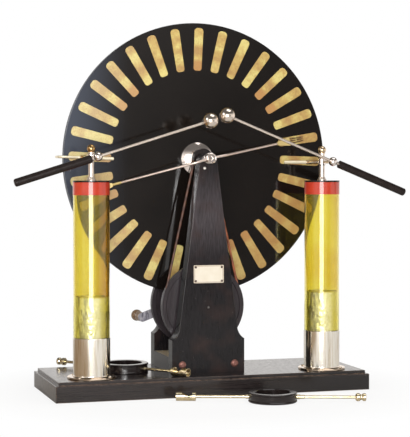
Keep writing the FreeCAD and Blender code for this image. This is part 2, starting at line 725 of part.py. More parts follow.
nut_radius = 6.0
nut_corners = [V(nut_radius * math.cos(math.radians(60 * i)), 0,
                 nut_radius * math.sin(math.radians(60 * i)))
               for i in range(7)]
nut_face = Part.Face(Part.makePolygon(nut_corners))
crank_nut = nut_face.extrude(V(0, nut_thickness, 0))
crank_nut.translate(V(0, crank_start + crank_hub_length, shaft_height))
crank_nut = crank_nut.common(turned([(0, 0), (nut_radius - 0.7, 0), (nut_radius + 0.1, 0.9),
                                     (nut_radius + 0.1, nut_thickness - 0.9), (nut_radius - 0.7,
                                             nut_thickness),
                                     (0, nut_thickness)], V(0, crank_start + crank_hub_length,
                                                            shaft_height), Y_AXIS))
crank_nut = crank_nut.cut(Part.makeCylinder(shaft_radius, nut_thickness,
                                            V(0, crank_start + crank_hub_length, shaft_height), Y_AXIS))

grip_bore = pin_radius + running_clearance
g = grip_radius
grip = turned([(grip_bore, 0), (g - 1.2, 0), (g - 0.6, 0.6), (g - 0.6, 2.6), (g - 1.0, 3.1), (g - 1.0, 3.9),
               (g, grip_length * 0.55, g - 1.4, grip_length - 3.0), (g - 1.4, grip_length - 2.2),
               (g - 0.9, grip_length - 1.6), (g - 0.9, grip_length - 0.6), (g - 1.5, grip_length),
               (grip_bore, grip_length)], V(pin_base.x, grip_start, pin_base.z), Y_AXIS)

k = grip_knob_radius
knob_low = knob_centre - grip_end
grip_knob = turned([(grip_bore, 0), (knob_neck, 0), (knob_neck, 1.2), (k, knob_low, 0, knob_low + k),
                    (0, knob_low + 2.6), (grip_bore, knob_low + 2.6)], V(pin_base.x, grip_end,
                            pin_base.z), Y_AXIS)

# ---------------------------------------------------------------- jars
coat = 0.35
plug_depth = 6.0
band_bottom = jar_top - red_band_height
inner_rod_radius = 1.3
inner_rod_low = base_height + 37.6
flange_screw_circle = cup_flange_radius - 3.6
flange_screw_head = 2.2
flange_screw_shank = 1.1
flange_screw_length = 9.0

cups = []
flange_screws = []
glasses = []
bands = []
foils = []
lids = []
inner_rods = []
for s in (-1, 1):
    foot = V(s * jar_x, jar_y, base_height)
    inner_r = glass_radius
    outer_r = glass_radius + cup_wall
    seat = cup_flange_thickness
    cup = turned([(0, 0), (cup_flange_radius - 0.6, 0), (cup_flange_radius, 0.6),
                  (cup_flange_radius, seat - 0.6),
                  (cup_flange_radius - 0.6, seat), (outer_r + 1.6, seat), (outer_r + 0.47, seat + 0.47,
                          outer_r, seat + 1.6),
                  (outer_r, cup_height - 0.3), (outer_r - 0.3, cup_height), (inner_r, cup_height), (inner_r,
                          seat),
                  (0, seat)], foot, Z_AXIS)
    for i in range(4):
        a = math.radians(45 + 90 * i)
        spot = foot + V(flange_screw_circle * math.cos(a), flange_screw_circle * math.sin(a), seat)
        pilot = Part.makeCylinder(flange_screw_shank, flange_screw_length, spot, Z_AXIS * -1)
        cup = cup.cut(pilot)
        base = base.cut(pilot)
        flange_screws.append(domed_screw(spot, Z_AXIS, flange_screw_head, 1.4, flange_screw_shank,
                                         flange_screw_length, 0.5))
    cups.append(cup)
    top = jar_height
    bore = glass_radius - glass_wall
    floor = seat + glass_floor
    glasses.append(turned([(0, seat), (glass_radius - 1.2, seat),
                           (glass_radius - 0.35, seat + 0.35, glass_radius, seat + 1.2),
                           (glass_radius, top - 0.5), (glass_radius - 0.5, top), (bore + 0.5, top), (bore,
                                   top - 0.5),
                           (bore, floor), (0, floor)], foot, Z_AXIS))
    low = band_bottom - base_height
    bands.append(turned([(glass_radius, low), (glass_radius + coat, low), (glass_radius + coat, top - 0.4),
                         (glass_radius, top - 0.6)], foot, Z_AXIS))
    foil_high = foil_height
    foils.append(turned([(0, floor), (bore, floor), (bore, foil_high), (bore - foil_thickness, foil_high),
                         (bore - foil_thickness, floor + foil_thickness), (0,
                                 floor + foil_thickness)], foot, Z_AXIS))
    lids.append(turned([(inner_rod_radius, top - plug_depth), (bore - 0.6, top - plug_depth),
                        (bore - 0.1, top - plug_depth + 0.5),
                        (bore - 0.1, top), (glass_radius + 0.1, top), (glass_radius + 0.5, top + 0.4),
                        (glass_radius + 0.5, top + lid_thickness - 0.4), (glass_radius + 0.1,
                                top + lid_thickness),
                        (inner_rod_radius, top + lid_thickness)], foot, Z_AXIS))
    inner_rods.append(turned([(0, inner_rod_low - base_height - 3),
                              (2.4, inner_rod_low - base_height, inner_rod_radius,
                                                                    inner_rod_low - base_height + 2.02),
                              (inner_rod_radius, top + lid_thickness), (0,
                                      top + lid_thickness)], foot, Z_AXIS))

# ---------------------------------------------------------------- posts, heads, stubs and collectors
posts = []
heads = []
finials = []
stubs = []
tees = []
forks = []
comb_bars = []
comb_points = []
tee_length = 7.4
tee_radius = 2.9
for name in ("left", "right"):
    s = side_sign[name]
    zh = head_height[name]
    foot = V(s * jar_x, jar_y, jar_top + lid_thickness)
    post_top = finial_over_lid - finial_radius + 0.8
    post = turned([(0, 0), (5.9, 0), (5.9, 1.0), (5.0, 1.6), (4.4, 3.8), (post_radius, 4.4),
                   (post_radius, post_top), (0, post_top)], foot, Z_AXIS)
    post = post.cut(rod(V(s * jar_x, jar_y - 9, zh), V(s * jar_x, jar_y + 9, zh), stub_radius))
    posts.append(post)
    hr = post_head_radius
    hh = post_head_height / 2
    head = turned([(post_radius, -hh), (hr - 0.9, -hh), (hr, -hh + 0.9), (hr, hh - 0.9), (hr - 0.9, hh),
                   (post_radius, hh)], V(s * jar_x, jar_y, zh), Z_AXIS)
    heads.append(head.cut(rod(V(s * jar_x, jar_y - 9, zh), V(s * jar_x, jar_y + 9, zh), stub_radius)))
    f = finial_radius
    drop = -f + 0.8
    seat_r = 4.3
    low = -math.sqrt(f * f - 3.7 * 3.7)
    finials.append(turned([(0, drop), (seat_r, drop), (seat_r, drop + 0.4), (3.7, low), (f, 0, 0, f)],
                          foot + Z_AXIS * finial_over_lid, Z_AXIS))
    stub_front = ball_y + ball_radius + 0.4
    pin_front = ball_y + arm_rod_radius + 0.9
    stub_length = comb_front_y - stub_front
    neck_in = stub_front - pin_front
    stubs.append(turned([(0, 0), (1.3, 0), (1.3, neck_in), (stub_radius, neck_in),
                         (stub_radius, neck_in + stub_length
                         - comb_rod_radius), (0, neck_in + stub_length - comb_rod_radius)],
                        V(s * jar_x, pin_front, zh), Y_AXIS))
    knurl = tee_length / 5.0
    tee_path = [(comb_rod_radius, -tee_length / 2)]
    for i in range(5):
        h = -tee_length / 2 + i * knurl
        tee_path += [(tee_radius - 0.5, h), (tee_radius, h + knurl / 2, tee_radius - 0.5, h + knurl)]
    tee_path += [(comb_rod_radius, tee_length / 2)]
    tee = turned(tee_path, V(s * jar_x, comb_front_y, zh), X_AXIS)
    tees.append(tee.cut(rod(V(s * jar_x, jar_y, zh), V(s * jar_x, comb_front_y, zh), stub_radius)))
    bar_outer = comb_bar_outer - comb_inset[name]
    bend_x = plate_radius + comb_bend_beyond_plate - comb_inset[name]
    path = [V(s * bar_outer, comb_front_y, zh), V(s * bend_x, comb_front_y, zh),
            V(s * bend_x, comb_rear_y, zh),
            V(s * bar_outer, comb_rear_y, zh)]
    comb = [bent_rod(path, comb_bend_radius, comb_rod_radius)]
    spacing = (comb_bar_length - 6.0) / (comb_point_count - 1)
    for y, way in ((comb_front_y, 1), (comb_rear_y, -1)):
        length = comb_bar_length
        bar = turned([(0, 0), (comb_bar_radius, 0), (comb_bar_radius, length - 0.8),
                      (comb_bar_radius - 0.8, length),
                      (0, length)], V(s * bar_outer, y, zh), X_AXIS * -s)
        for i in range(comb_point_count):
            root = V(s * (bar_outer - length + 3.0 + i * spacing), y, zh)
            bar = bar.cut(rod(root, root + Y_AXIS * way * 4, 0.6))
            comb.append(turned([(0, 0), (0.6, 0), (0.6, comb_bar_radius + 0.4), (0.12, comb_bar_radius
                                + comb_point_length), (0, comb_bar_radius + comb_point_length)],
                               root, Y_AXIS * way))
        comb.append(bar)
    for piece in comb + tees[-1:]:
        piece.rotate(V(s * jar_x, 0, zh), Y_AXIS, comb_turn[name])
    forks.append(comb[0])
    for first in (1, comb_point_count + 2):
        comb_points += comb[first:first + comb_point_count]
        comb_bars.append(comb[first + comb_point_count])


# ---------------------------------------------------------------- discharge arms
def discharge_arm(name):
    """Pierced ball on the stub pin, the rod with its sphere, and the long insulating handle."""
    s = side_sign[name]
    tilt = math.radians(arm_tilt[name])
    inward = V(-s * math.cos(tilt), 0, math.sin(tilt))
    pivot = V(s * jar_x, ball_y, head_height[name])
    slide_bore = arm_rod_radius + 0.08
    knuckle = ball(pivot, ball_radius)
    knuckle = knuckle.cut(rod(pivot - inward * 9, pivot + inward * 9, slide_bore))
    knuckle = knuckle.cut(rod(pivot + Y_AXIS * (arm_rod_radius + 0.6), pivot + Y_AXIS * 9,
                              1.3 + running_clearance))
    sphere_x = spheres_shift + s * (sphere_radius + spheres_apart / 2)
    arm_reach = (pivot.x - sphere_x) / -inward.x
    centre = pivot + inward * arm_reach
    handle_from = pivot - inward * handle_start
    socket = 40.0
    stem = turned([(0, 0), (arm_rod_radius, 0),
                   (arm_rod_radius, handle_start + socket + arm_reach - sphere_radius + 1.5),
                   (0, handle_start + socket + arm_reach - sphere_radius + 1.5)],
                  handle_from - inward * socket, inward)
    hole = rod(handle_from - inward * socket, centre - inward * (sphere_radius - 1.5), arm_rod_radius)
    sphere = ball(centre, sphere_radius).cut(hole)
    h = handle_radius
    handle = turned([(0, 0), (h - 0.8, 0), (h, 0.8), (h, handle_length - 2.2),
                     (h - 0.7, handle_length - 0.7, h - 2.2, handle_length), (0, handle_length)],
                    handle_from, inward * -1).cut(hole)
    return knuckle, [stem, sphere], handle


left_arm = discharge_arm("left")
right_arm = discharge_arm("right")


# ---------------------------------------------------------------- loose spark-gap rings
def spark_ring(centre, heading, ring_knob_end, ring_tube_end):
    """Insulating ring with a knobbed rod on one side and a notched hook tube on the other; both rods slide."""
    floor_z = centre.z
    a = math.radians(heading)
    out = V(math.cos(a), math.sin(a), 0)
    r = ring_radius
    b = ring_bore
    h = ring_height
    ring = turned([(b, 0.8), (b + 0.8, 0), (r - 0.8, 0), (r, 0.8), (r, 1.8), (r - 0.9, 2.7),
                   (r - 0.9, h - 2.7),
                   (r, h - 1.8), (r, h - 0.8), (r - 0.8, h), (b + 0.8, h), (b, h - 0.8)],
                  V(centre.x, centre.y, floor_z), Z_AXIS)
    mid = V(centre.x, centre.y, floor_z + h / 2)
    ring = ring.cut(rod(mid - out * (r + 1), mid - out * (b - 1), ring_rod_radius))
    ring = ring.cut(rod(mid + out * (r + 1), mid + out * (b - 1), ring_rod_radius))
    q = ring_rod_radius
    start = r - 0.9
    knob_from = ring_knob_end - 12.6
    knob_stick = turned([(0, ring_tip_reach - 5.5), (0.5, ring_tip_reach - 5.5), (q, ring_tip_reach),
                         (q, start),
                         (2.9, start), (2.9, start + 4.0), (2.4, start + 4.6), (2.4, start + 9.4), (q,
                                 start + 10.0),
                         (q, knob_from), (3.4, knob_from), (4.9, knob_from + 1.4), (4.9, knob_from + 4.4),
                         (3.4, knob_from + 6.4), (3.4, knob_from + 7.6), (4.7, knob_from + 9.4),
                         (4.7, ring_knob_end - 0.6), (4.1, ring_knob_end), (0, ring_knob_end)], mid, out)
    t = ring_tube_radius
    w = ring_tube_wall
    tube_from = ring_tube_end - ring_tube_length
    tube_stick = turned([(0, ring_tip_reach - 5.5), (0.5, ring_tip_reach - 5.5), (q, ring_tip_reach),
                         (q, start),
                         (2.5, start), (2.5, start + 3.6), (q, start + 4.2), (q, tube_from), (t - 0.6,
                                 tube_from),
                         (t, tube_from + 0.6), (t, ring_tube_end), (t - w, ring_tube_end), (t - w,
                                 tube_from + 1.6),
                         (0, tube_from + 1.6)], mid, out * -1)
    low = tube_from + 4.2
    notch_face = Part.Face(wire_from([(low, 0.6), (low + 4.5, -1.2), (low + 12.4, 3.4), (low + 13.6, t + 2),
                                      (low - 0.6, t + 2)]))
    notch = notch_face.extrude(V(0, 2 * t + 4, 0))
    notch.translate(V(0, -t - 2, 0))
    notch.Placement = frame_at(mid, Z_AXIS, out * -1).multiply(notch.Placement)
    tube_stick = tube_stick.cut(notch)
    return ring, [knob_stick, tube_stick]


front_gap = spark_ring(V(front_ring_x, front_ring_y, 0), front_ring_heading, front_ring_knob_end,
                       front_ring_tube_end)
rear_gap = spark_ring(V(rear_ring_x, rear_ring_y, base_height), rear_ring_heading, rear_ring_knob_end,
                      rear_ring_tube_end)

# ---------------------------------------------------------------- write the nodes
save("base_board", [base])
save("base_screws", base_screws)
save("cross_block", [block])
save("front_upright", [front_upright])
save("rear_upright", [rear_upright])
save("upright_bolts", upright_bolts)
save("nameplate", [name_plate])
save("small_screws", small_screws)
save("axle_bushes", axle_bushes)
save("shaft_bushes", shaft_bushes)
save("main_axle", [axle])
save("axle_washer", [washer])
save("front_plate", [plate(front_plate_face, front_plate_back)])
save("front_sectors", sectors(front_plate_face, -1, sector_phase_front))
save("front_hub", [front_hub])
save("front_hub_flange", [hub_flange(front_plate_face, -1)])
save("rear_plate", [plate(rear_plate_face, rear_plate_back)])
save("rear_sectors", sectors(rear_plate_face, 1, sector_phase_rear))
save("rear_hub", [rear_hub])
save("rear_hub_flange", [hub_flange(rear_plate_face, 1)])
save("front_neutraliser_collar", front_neutraliser[0])
save("front_neutraliser_rods", front_neutraliser[1])
save("front_brushes", front_neutraliser[2])
save("rear_neutraliser_collar", rear_neutraliser[0])
save("rear_neutraliser_rods", rear_neutraliser[1])
save("rear_brushes", rear_neutraliser[2])
save("crank_shaft", [shaft])
save("front_drive_pulley", [front_pulley])
save("rear_drive_pulley", [rear_pulley])
save("front_belt", [front_belt])
save("rear_belt", [rear_belt])
save("crank_arm", [crank_arm])
save("crank_nut", [crank_nut])
save("crank_grip", [grip])
save("crank_grip_knob", [grip_knob])
save("jar_cups", cups)
save("jar_flange_screws", flange_screws)
save("jar_glasses", glasses)
save("jar_red_bands", bands)
save("jar_foils", foils)
save("jar_lids", lids)
save("jar_inner_rods", inner_rods)
save("jar_posts", posts)
save("post_heads", heads)
save("post_finials", finials)
save("stub_rods", stubs)
save("comb_tees", tees)
save("comb_forks", forks)
save("comb_bars", comb_bars)
save("comb_points", comb_points)
save("left_pivot_ball", [left_arm[0]])
save("left_discharge_rod", left_arm[1])
save("left_handle", [left_arm[2]])
save("right_pivot_ball", [right_arm[0]])
save("right_discharge_rod", right_arm[1])
save("right_handle", [right_arm[2]])
save("front_gap_ring", [front_gap[0]])
save("front_gap_rods", front_gap[1])
save("rear_gap_ring", [rear_gap[0]])
save("rear_gap_rods", rear_gap[1])
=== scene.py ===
import bpy
import bmesh
import math
import random
from mathutils import Matrix, Vector


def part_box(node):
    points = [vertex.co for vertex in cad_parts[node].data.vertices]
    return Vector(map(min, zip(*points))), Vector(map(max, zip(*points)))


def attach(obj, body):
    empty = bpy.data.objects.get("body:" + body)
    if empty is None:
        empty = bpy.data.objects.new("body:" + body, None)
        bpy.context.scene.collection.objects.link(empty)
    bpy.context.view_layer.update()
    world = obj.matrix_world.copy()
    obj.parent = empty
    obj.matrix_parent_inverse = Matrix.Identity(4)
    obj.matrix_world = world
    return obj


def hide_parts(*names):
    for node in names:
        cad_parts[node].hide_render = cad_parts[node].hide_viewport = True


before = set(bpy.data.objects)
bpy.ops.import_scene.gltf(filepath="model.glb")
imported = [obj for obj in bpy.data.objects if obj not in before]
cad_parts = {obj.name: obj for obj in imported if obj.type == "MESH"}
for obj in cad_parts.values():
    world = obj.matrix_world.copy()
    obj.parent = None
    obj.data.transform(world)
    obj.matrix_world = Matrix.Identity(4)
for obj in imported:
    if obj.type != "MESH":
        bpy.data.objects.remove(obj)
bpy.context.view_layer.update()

# ---------------------------------------------------------------- camera
# The machine is seen from its front left, from a little below the height of the axle and looking
# slightly down, with a long lens about 1.9 m away.
CAMERA_PLACE = (-0.5309, -1.7815, 0.2716)
CAMERA_TURN = (88.358, 0.0, -16.772)
CAMERA_LENS = 127.15
SENSOR_WIDE_MM = 36.0
bpy.ops.object.camera_add(location=CAMERA_PLACE, rotation=[math.radians(a) for a in CAMERA_TURN])
camera = bpy.context.object
camera.data.sensor_fit = "HORIZONTAL"
camera.data.sensor_width = SENSOR_WIDE_MM
camera.data.lens = CAMERA_LENS
scene = bpy.context.scene
scene.camera = camera
scene.view_settings.view_transform = "Standard"

# ---------------------------------------------------------------- studio
# A pale table that fades into a pure white room, with a softbox and a small lamp beside the camera
# and two dim boxes to the left and overhead. The room is dark to the front right and tan to the
# left, for reflections only, which gives the polished pieces their shape.
EASED = {"interpolation_type": "SMOOTHSTEP"}
COLOURS = {"data_type": "RGBA"}
DOT = {"operation": "DOT_PRODUCT"}
TIMES = {"operation": "MULTIPLY"}
CLAMPED_SUM = {"operation": "ADD", "use_clamp": True}


def node(tree, kind, settings=None, **sockets):
    """Adds a shader node. i6 means input 6, and a socket given another node's output is linked."""
    made = tree.nodes.new("ShaderNode" + kind)
    for name, value in (settings or {}).items():
        setattr(made, name, value)
    for name, value in sockets.items():
        numbered = name[0] == "i" and name[1:].isdigit()
        socket = made.inputs[int(name[1:])] if numbered else made.inputs[name.replace("_", " ")]
        if isinstance(value, bpy.types.NodeSocket):
            tree.links.new(value, socket)
        else:
            socket.default_value = value
    return made


def colour(code):
    """Linear RGBA of an sRGB hex colour."""
    parts = [int(code[i:i + 2], 16) / 255 for i in (1, 3, 5)]
    return [c / 12.92 if c <= 0.04045 else ((c + 0.055) / 1.055) ** 2.4 for c in parts] + [1.0]


def start_finish(name):
    """Starts a named material with nothing in it."""
    made = bpy.data.materials.new(name)
    made.use_nodes = True
    made.node_tree.nodes.clear()
    return made, made.node_tree


WHITE = (1.0, 1.0, 1.0, 1.0)
WARM_WALL = (1.0, 0.97, 0.94, 1.0)
TAN_WALL = (0.42, 0.32, 0.23, 1.0)
SOFT_FILL = (1.0, 0.98, 0.96, 1.0)
SOFT_FILL_LIGHT = 0.42
OPEN_LIGHT = 1.25
DARK_LIGHT = 0.3
DARK_WAY = (0.42, -0.90, -0.05)
DARK_FROM = 0.95
DARK_FULL = 0.988
TAN_WAY = (-0.956, 0.292, 0.0)
TAN_FROM = 0.74
TAN_FULL = 0.92
CEILING_LIGHT = 0.15
CEILING_FROM = 0.12
CEILING_FULL = 0.55
scene.world = bpy.data.worlds.new("studio")
scene.world.use_nodes = True
sky = scene.world.node_tree
sky.nodes.clear()
way = node(sky, "TexCoord").outputs["Generated"]
facing = node(sky, "VectorMath", DOT, i0=way, i1=DARK_WAY)
side_wall = node(sky, "MapRange", EASED, Value=facing.outputs["Value"], From_Min=DARK_FROM,
                 From_Max=DARK_FULL, To_Min=OPEN_LIGHT, To_Max=DARK_LIGHT)
ceiling = node(sky, "MapRange", EASED, Value=node(sky, "SeparateXYZ", i0=way).outputs["Z"],
               From_Min=CEILING_FROM, From_Max=CEILING_FULL, To_Min=1.0, To_Max=CEILING_LIGHT)
leftward = node(sky, "VectorMath", DOT, i0=way, i1=TAN_WAY)
left_wall = node(sky, "MapRange", EASED, Value=leftward.outputs["Value"], From_Min=TAN_FROM,
                 From_Max=TAN_FULL)
wall_colour = node(sky, "Mix", COLOURS, i0=left_wall.outputs[0], i6=WARM_WALL, i7=TAN_WALL)
room = node(sky, "Math", TIMES, i0=side_wall.outputs[0], i1=ceiling.outputs[0])
rays = node(sky, "LightPath")
shiny = node(sky, "Background", Color=wall_colour.outputs[2], Strength=room.outputs[0])
soft = node(sky, "Background", Color=SOFT_FILL, Strength=SOFT_FILL_LIGHT)
white = node(sky, "Background", Color=WHITE, Strength=1.0)
plain = node(sky, "MixShader", i0=rays.outputs["Is Glossy Ray"], i1=soft.outputs[0], i2=shiny.outputs[0])
seen = node(sky, "Math", CLAMPED_SUM, i0=rays.outputs["Is Camera Ray"],
            i1=rays.outputs["Is Transmission Ray"])
sky_mix = node(sky, "MixShader", i0=seen.outputs[0], i1=plain.outputs[0], i2=white.outputs[0])
node(sky, "OutputWorld", Surface=sky_mix.outputs[0])

FLOOR_SIZE = 2.4
FLOOR_UNDER = 0.0003
FLOOR_WHITE = 0.85
WHITER_FROM = 0.22
WHITEST_AT = 0.32
TAN_CARD_AT = (-0.78, -0.05, 0.0)
TAN_CARD_REACH = 0.62
TAN_CARD_FULL = 0.5
bpy.ops.mesh.primitive_plane_add(size=FLOOR_SIZE, location=(0, 0, -FLOOR_UNDER))
floor = bpy.context.object
floor.name = "studio_floor"
paper, tree = start_finish("white_paper_table")
here = node(tree, "TexCoord").outputs["Object"]
rays = node(tree, "LightPath")
reach = node(tree, "VectorMath", {"operation": "LENGTH"}, i0=here)
fade = node(tree, "MapRange", Value=reach.outputs["Value"], From_Min=WHITER_FROM, From_Max=WHITEST_AT,
            To_Min=FLOOR_WHITE, To_Max=1.0)
matte = node(tree, "BsdfDiffuse", Color=colour("#f6f4f1"))
glow = node(tree, "Emission", Color=WHITE, Strength=1.0)
show = node(tree, "Math", TIMES, i0=rays.outputs["Is Camera Ray"], i1=fade.outputs[0])
show = node(tree, "Math", CLAMPED_SUM, i0=show.outputs[0], i1=rays.outputs["Is Transmission Ray"])
from_card = node(tree, "VectorMath", {"operation": "DISTANCE"}, i0=here, i1=TAN_CARD_AT)
card = node(tree, "MapRange", Value=from_card.outputs["Value"], From_Min=TAN_CARD_REACH,
            From_Max=TAN_CARD_FULL)
card = node(tree, "Math", TIMES, i0=card.outputs[0], i1=rays.outputs["Is Glossy Ray"])
tan = node(tree, "BsdfDiffuse", Color=colour("#a8937b"))
table = node(tree, "MixShader", i0=card.outputs[0], i1=matte.outputs[0], i2=tan.outputs[0])
mix = node(tree, "MixShader", i0=show.outputs[0], i1=table.outputs[0], i2=glow.outputs[0])
node(tree, "OutputMaterial", Surface=mix.outputs[0])
floor.data.materials.append(paper)

AIM = Vector((0.0, 0.0, 0.22))


def softbox(name, place, wide, tall, watts):
    """Rectangular lamp that looks at the middle of the machine."""
    bpy.ops.object.light_add(type="AREA", location=place)
    lamp = bpy.context.object
    lamp.name = name
    lamp.data.shape = "RECTANGLE"
    lamp.data.size = wide
    lamp.data.size_y = tall
    lamp.data.energy = watts
    lamp.rotation_euler = (AIM - Vector(place)).to_track_quat("-Z", "Y").to_euler()


softbox("key_box", (-0.66, -2.0, 0.28), wide=0.95, tall=1.0, watts=35.0)
softbox("small_lamp", (-0.61, -2.0, 0.375), wide=0.06, tall=0.06, watts=4.0)
softbox("left_box", (-2.2, -0.6, 1.3), wide=1.0, tall=1.0, watts=9.0)
softbox("top_box", (0.5, -0.3, 2.2), wide=1.4, tall=1.4, watts=13.0)


# ---------------------------------------------------------------- base board and its screws
# A hardwood board, stained black and French polished, with a low stepped edge worked on its top.
# Years of handling have rubbed the edges pale and nicked the front; the right end is the darkest.
# Four bright steel screws come up through it into the cross block.
def dress(material, *names):
    """Gives CAD nodes a finish."""
    for name in names:
        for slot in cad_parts[name].material_slots:
            slot.material = material


def drawn_out(tree, here, axis, long_mm, wide_mm, **noise):
    """A pattern stretched along one axis, as wood grain, rubbing marks and running varnish are."""
    scale = [1000 / (long_mm if name == axis else wide_mm) for name in "XYZ"]
    place = node(tree, "Mapping", Vector=here, Scale=scale)
    return node(tree, "TexNoise", Vector=place.outputs[0], Scale=1.0, **noise).outputs["Fac"]


BOARD_GRAIN_LONG_MM = 70.0
BOARD_GRAIN_WIDE_MM = 1.6
SCUFF_MM = 6.0
EDGE_WEAR_MM = 1.6
EDGE_SAMPLES = 6
DEEPER_FROM_X = -0.02
DEEPEST_AT_X = 0.16
PORE_DEPTH = 0.0002
polished_board, tree = start_finish("black_stained_polished_hardwood")
here = node(tree, "TexCoord").outputs["Object"]
along = node(tree, "SeparateXYZ", i0=here)
grain = drawn_out(tree, here, "X", BOARD_GRAIN_LONG_MM, BOARD_GRAIN_WIDE_MM, Detail=4.0, Roughness=0.6)
scuffs = node(tree, "TexNoise", Vector=here, Scale=1000 / SCUFF_MM, Detail=6.0, Roughness=0.7)
streak = node(tree, "MapRange", Value=grain, From_Min=0.3, From_Max=0.7)
wood_colour = node(tree, "Mix", COLOURS, i0=streak.outputs[0], i6=colour("#1a1616"), i7=colour("#302928"))
deeper = node(tree, "MapRange", Value=along.outputs["X"], From_Min=DEEPER_FROM_X, From_Max=DEEPEST_AT_X,
              To_Max=0.75)
wood_colour = node(tree, "Mix", COLOURS, i0=deeper.outputs[0], i6=wood_colour.outputs[2], i7=colour("#120f0f"))
round_normal = node(tree, "Bevel", {"samples": EDGE_SAMPLES}, Radius=EDGE_WEAR_MM / 1000)
bent = node(tree, "VectorMath", DOT, i0=round_normal.outputs[0],
            i1=node(tree, "NewGeometry").outputs["Normal"])
edge = node(tree, "MapRange", Value=bent.outputs["Value"], From_Min=0.99, From_Max=0.88)
scuffed = node(tree, "MapRange", Value=scuffs.outputs["Fac"], From_Min=0.36, From_Max=0.6)
rough_edge = node(tree, "Math", {"operation": "MULTIPLY", "use_clamp": True}, i0=edge.outputs[0],
                  i1=scuffed.outputs[0])
wear_and_highlight = node(tree, "Mix", COLOURS, i0=rough_edge.outputs[0], i6=wood_colour.outputs[2], i7=colour("#8a6f5c"))
nick = node(tree, "MapRange", Value=scuffs.outputs["Fac"], From_Min=0.66, From_Max=0.74, To_Max=0.55)
nicked = node(tree, "Mix", COLOURS, i0=nick.outputs[0], i6=wear_and_highlight.outputs[2], i7=colour("#8d8178"))
dull = node(tree, "MapRange", Value=scuffs.outputs["Fac"], From_Min=0.3, From_Max=0.7,
            To_Min=0.12, To_Max=0.26)
pores = node(tree, "Bump", Strength=0.06, Distance=PORE_DEPTH, Height=grain)
wood = node(tree, "BsdfPrincipled", Base_Color=nicked.outputs[2], Roughness=dull.outputs[0], IOR=1.52,
            Normal=pores.outputs[0])
node(tree, "OutputMaterial", Surface=wood.outputs[0])
dress(polished_board, "base_board")

# Turned steel, bright from the lathe and dulled in patches by fingers. The crank's nut is the same.
FINGER_MM = 5.0
bright_steel, tree = start_finish("turned_bright_steel")
here = node(tree, "TexCoord").outputs["Object"]
handled = node(tree, "TexNoise", Vector=here, Scale=1000 / FINGER_MM, Detail=3.0)
dull = node(tree, "MapRange", Value=handled.outputs["Fac"], To_Min=0.2, To_Max=0.4)
steel = node(tree, "BsdfPrincipled", Base_Color=colour("#b9b7b4"), Metallic=1.0, Roughness=dull.outputs[0])
node(tree, "OutputMaterial", Surface=steel.outputs[0])
dress(bright_steel, "base_screws", "crank_nut")

# The crank shaft is plain drawn rod, oiled and gone grey.
grey_steel, tree = start_finish("oiled_grey_steel")
steel = node(tree, "BsdfPrincipled", Base_Color=colour("#6f6b69"), Metallic=1.0, Roughness=0.45)
node(tree, "OutputMaterial", Surface=steel.outputs[0])
dress(grey_steel, "crank_shaft")


# ---------------------------------------------------------------- uprights and cross block
# Two tapering hardwood boards, sawn, scraped and stained black with a satin oil finish, bolted
# through their feet to the block between them. The upright grain shows as fine pale lines, most
# in a paler band half-way up. The sawn sides are duller low down, and painted darker there as painted
# shade.
def mottled_finish(name, tones, patch_mm, noise, dull=None, **shader):
    """A finish that drifts between two tones in patches; dull is the range of its roughness."""
    made, tree = start_finish(name)
    here = node(tree, "TexCoord").outputs["Object"]
    patches = node(tree, "TexNoise", Vector=here, Scale=1000 / patch_mm, **noise).outputs["Fac"]
    if dull:
        shader["Roughness"] = node(tree, "MapRange", Value=patches, From_Min=0.3, From_Max=0.7,
                                   To_Min=dull[0], To_Max=dull[1]).outputs[0]
    skin = node(tree, "Mix", COLOURS, i0=patches, i6=colour(tones[0]), i7=colour(tones[1]))
    surface = node(tree, "BsdfPrincipled", Base_Color=skin.outputs[2], **shader)
    node(tree, "OutputMaterial", Surface=surface.outputs[0])
    return made


UPRIGHT_GRAIN = {"long_mm": 14.0, "wide_mm": 1.1, "Detail": 5.0, "Roughness": 0.65}
CLOUD_MM = 30.0
CHIP_MM = 3.0
PALER_AT_Z = 0.225
PALER_REACH = 0.075
SIDE_GLOSSY_UNSHADED_Z = 0.255
SIDE_DULL_SHADED_Z = 0.17
satin_upright, tree = start_finish("black_stained_satin_hardwood")
here = node(tree, "TexCoord").outputs["Object"]
height = node(tree, "SeparateXYZ", i0=here).outputs["Z"]
grain = drawn_out(tree, here, "Z", **UPRIGHT_GRAIN)
cloud = node(tree, "TexNoise", Vector=here, Scale=1000 / CLOUD_MM, Detail=3.0)
streak = node(tree, "MapRange", Value=grain, From_Min=0.32, From_Max=0.68)
# The boards are paler in a band half-way up.
from_paler = node(tree, "Math", {"operation": "SUBTRACT"}, i0=height, i1=PALER_AT_Z)
from_paler = node(tree, "Math", {"operation": "ABSOLUTE"}, i0=from_paler.outputs[0])
paler_zone = node(tree, "MapRange", EASED, Value=from_paler.outputs[0], From_Max=PALER_REACH, To_Min=1.0,
             To_Max=0.0)
wood_colour = node(tree, "Mix", COLOURS, i0=streak.outputs[0], i6=colour("#110f10"), i7=colour("#211e20"))
pale = node(tree, "Mix", COLOURS, i0=streak.outputs[0], i6=colour("#322e2f"), i7=colour("#4a4447"))
wood_colour = node(tree, "Mix", COLOURS, i0=paler_zone.outputs[0], i6=wood_colour.outputs[2], i7=pale.outputs[2])
warm = node(tree, "MapRange", Value=cloud.outputs["Fac"], From_Min=0.5, From_Max=0.7, To_Max=0.45)
wood_colour = node(tree, "Mix", COLOURS, i0=warm.outputs[0], i6=wood_colour.outputs[2], i7=colour("#3a2a26"))
speck = node(tree, "TexNoise", Vector=here, Scale=1000 / CHIP_MM, Detail=2.0)
chip = node(tree, "MapRange", Value=speck.outputs["Fac"], From_Min=0.72, From_Max=0.78, To_Max=0.5)
wood_colour = node(tree, "Mix", COLOURS, i0=chip.outputs[0], i6=wood_colour.outputs[2], i7=colour("#a39a97"))
dull = node(tree, "MapRange", Value=grain, From_Min=0.3, From_Max=0.7, To_Min=0.12, To_Max=0.22)
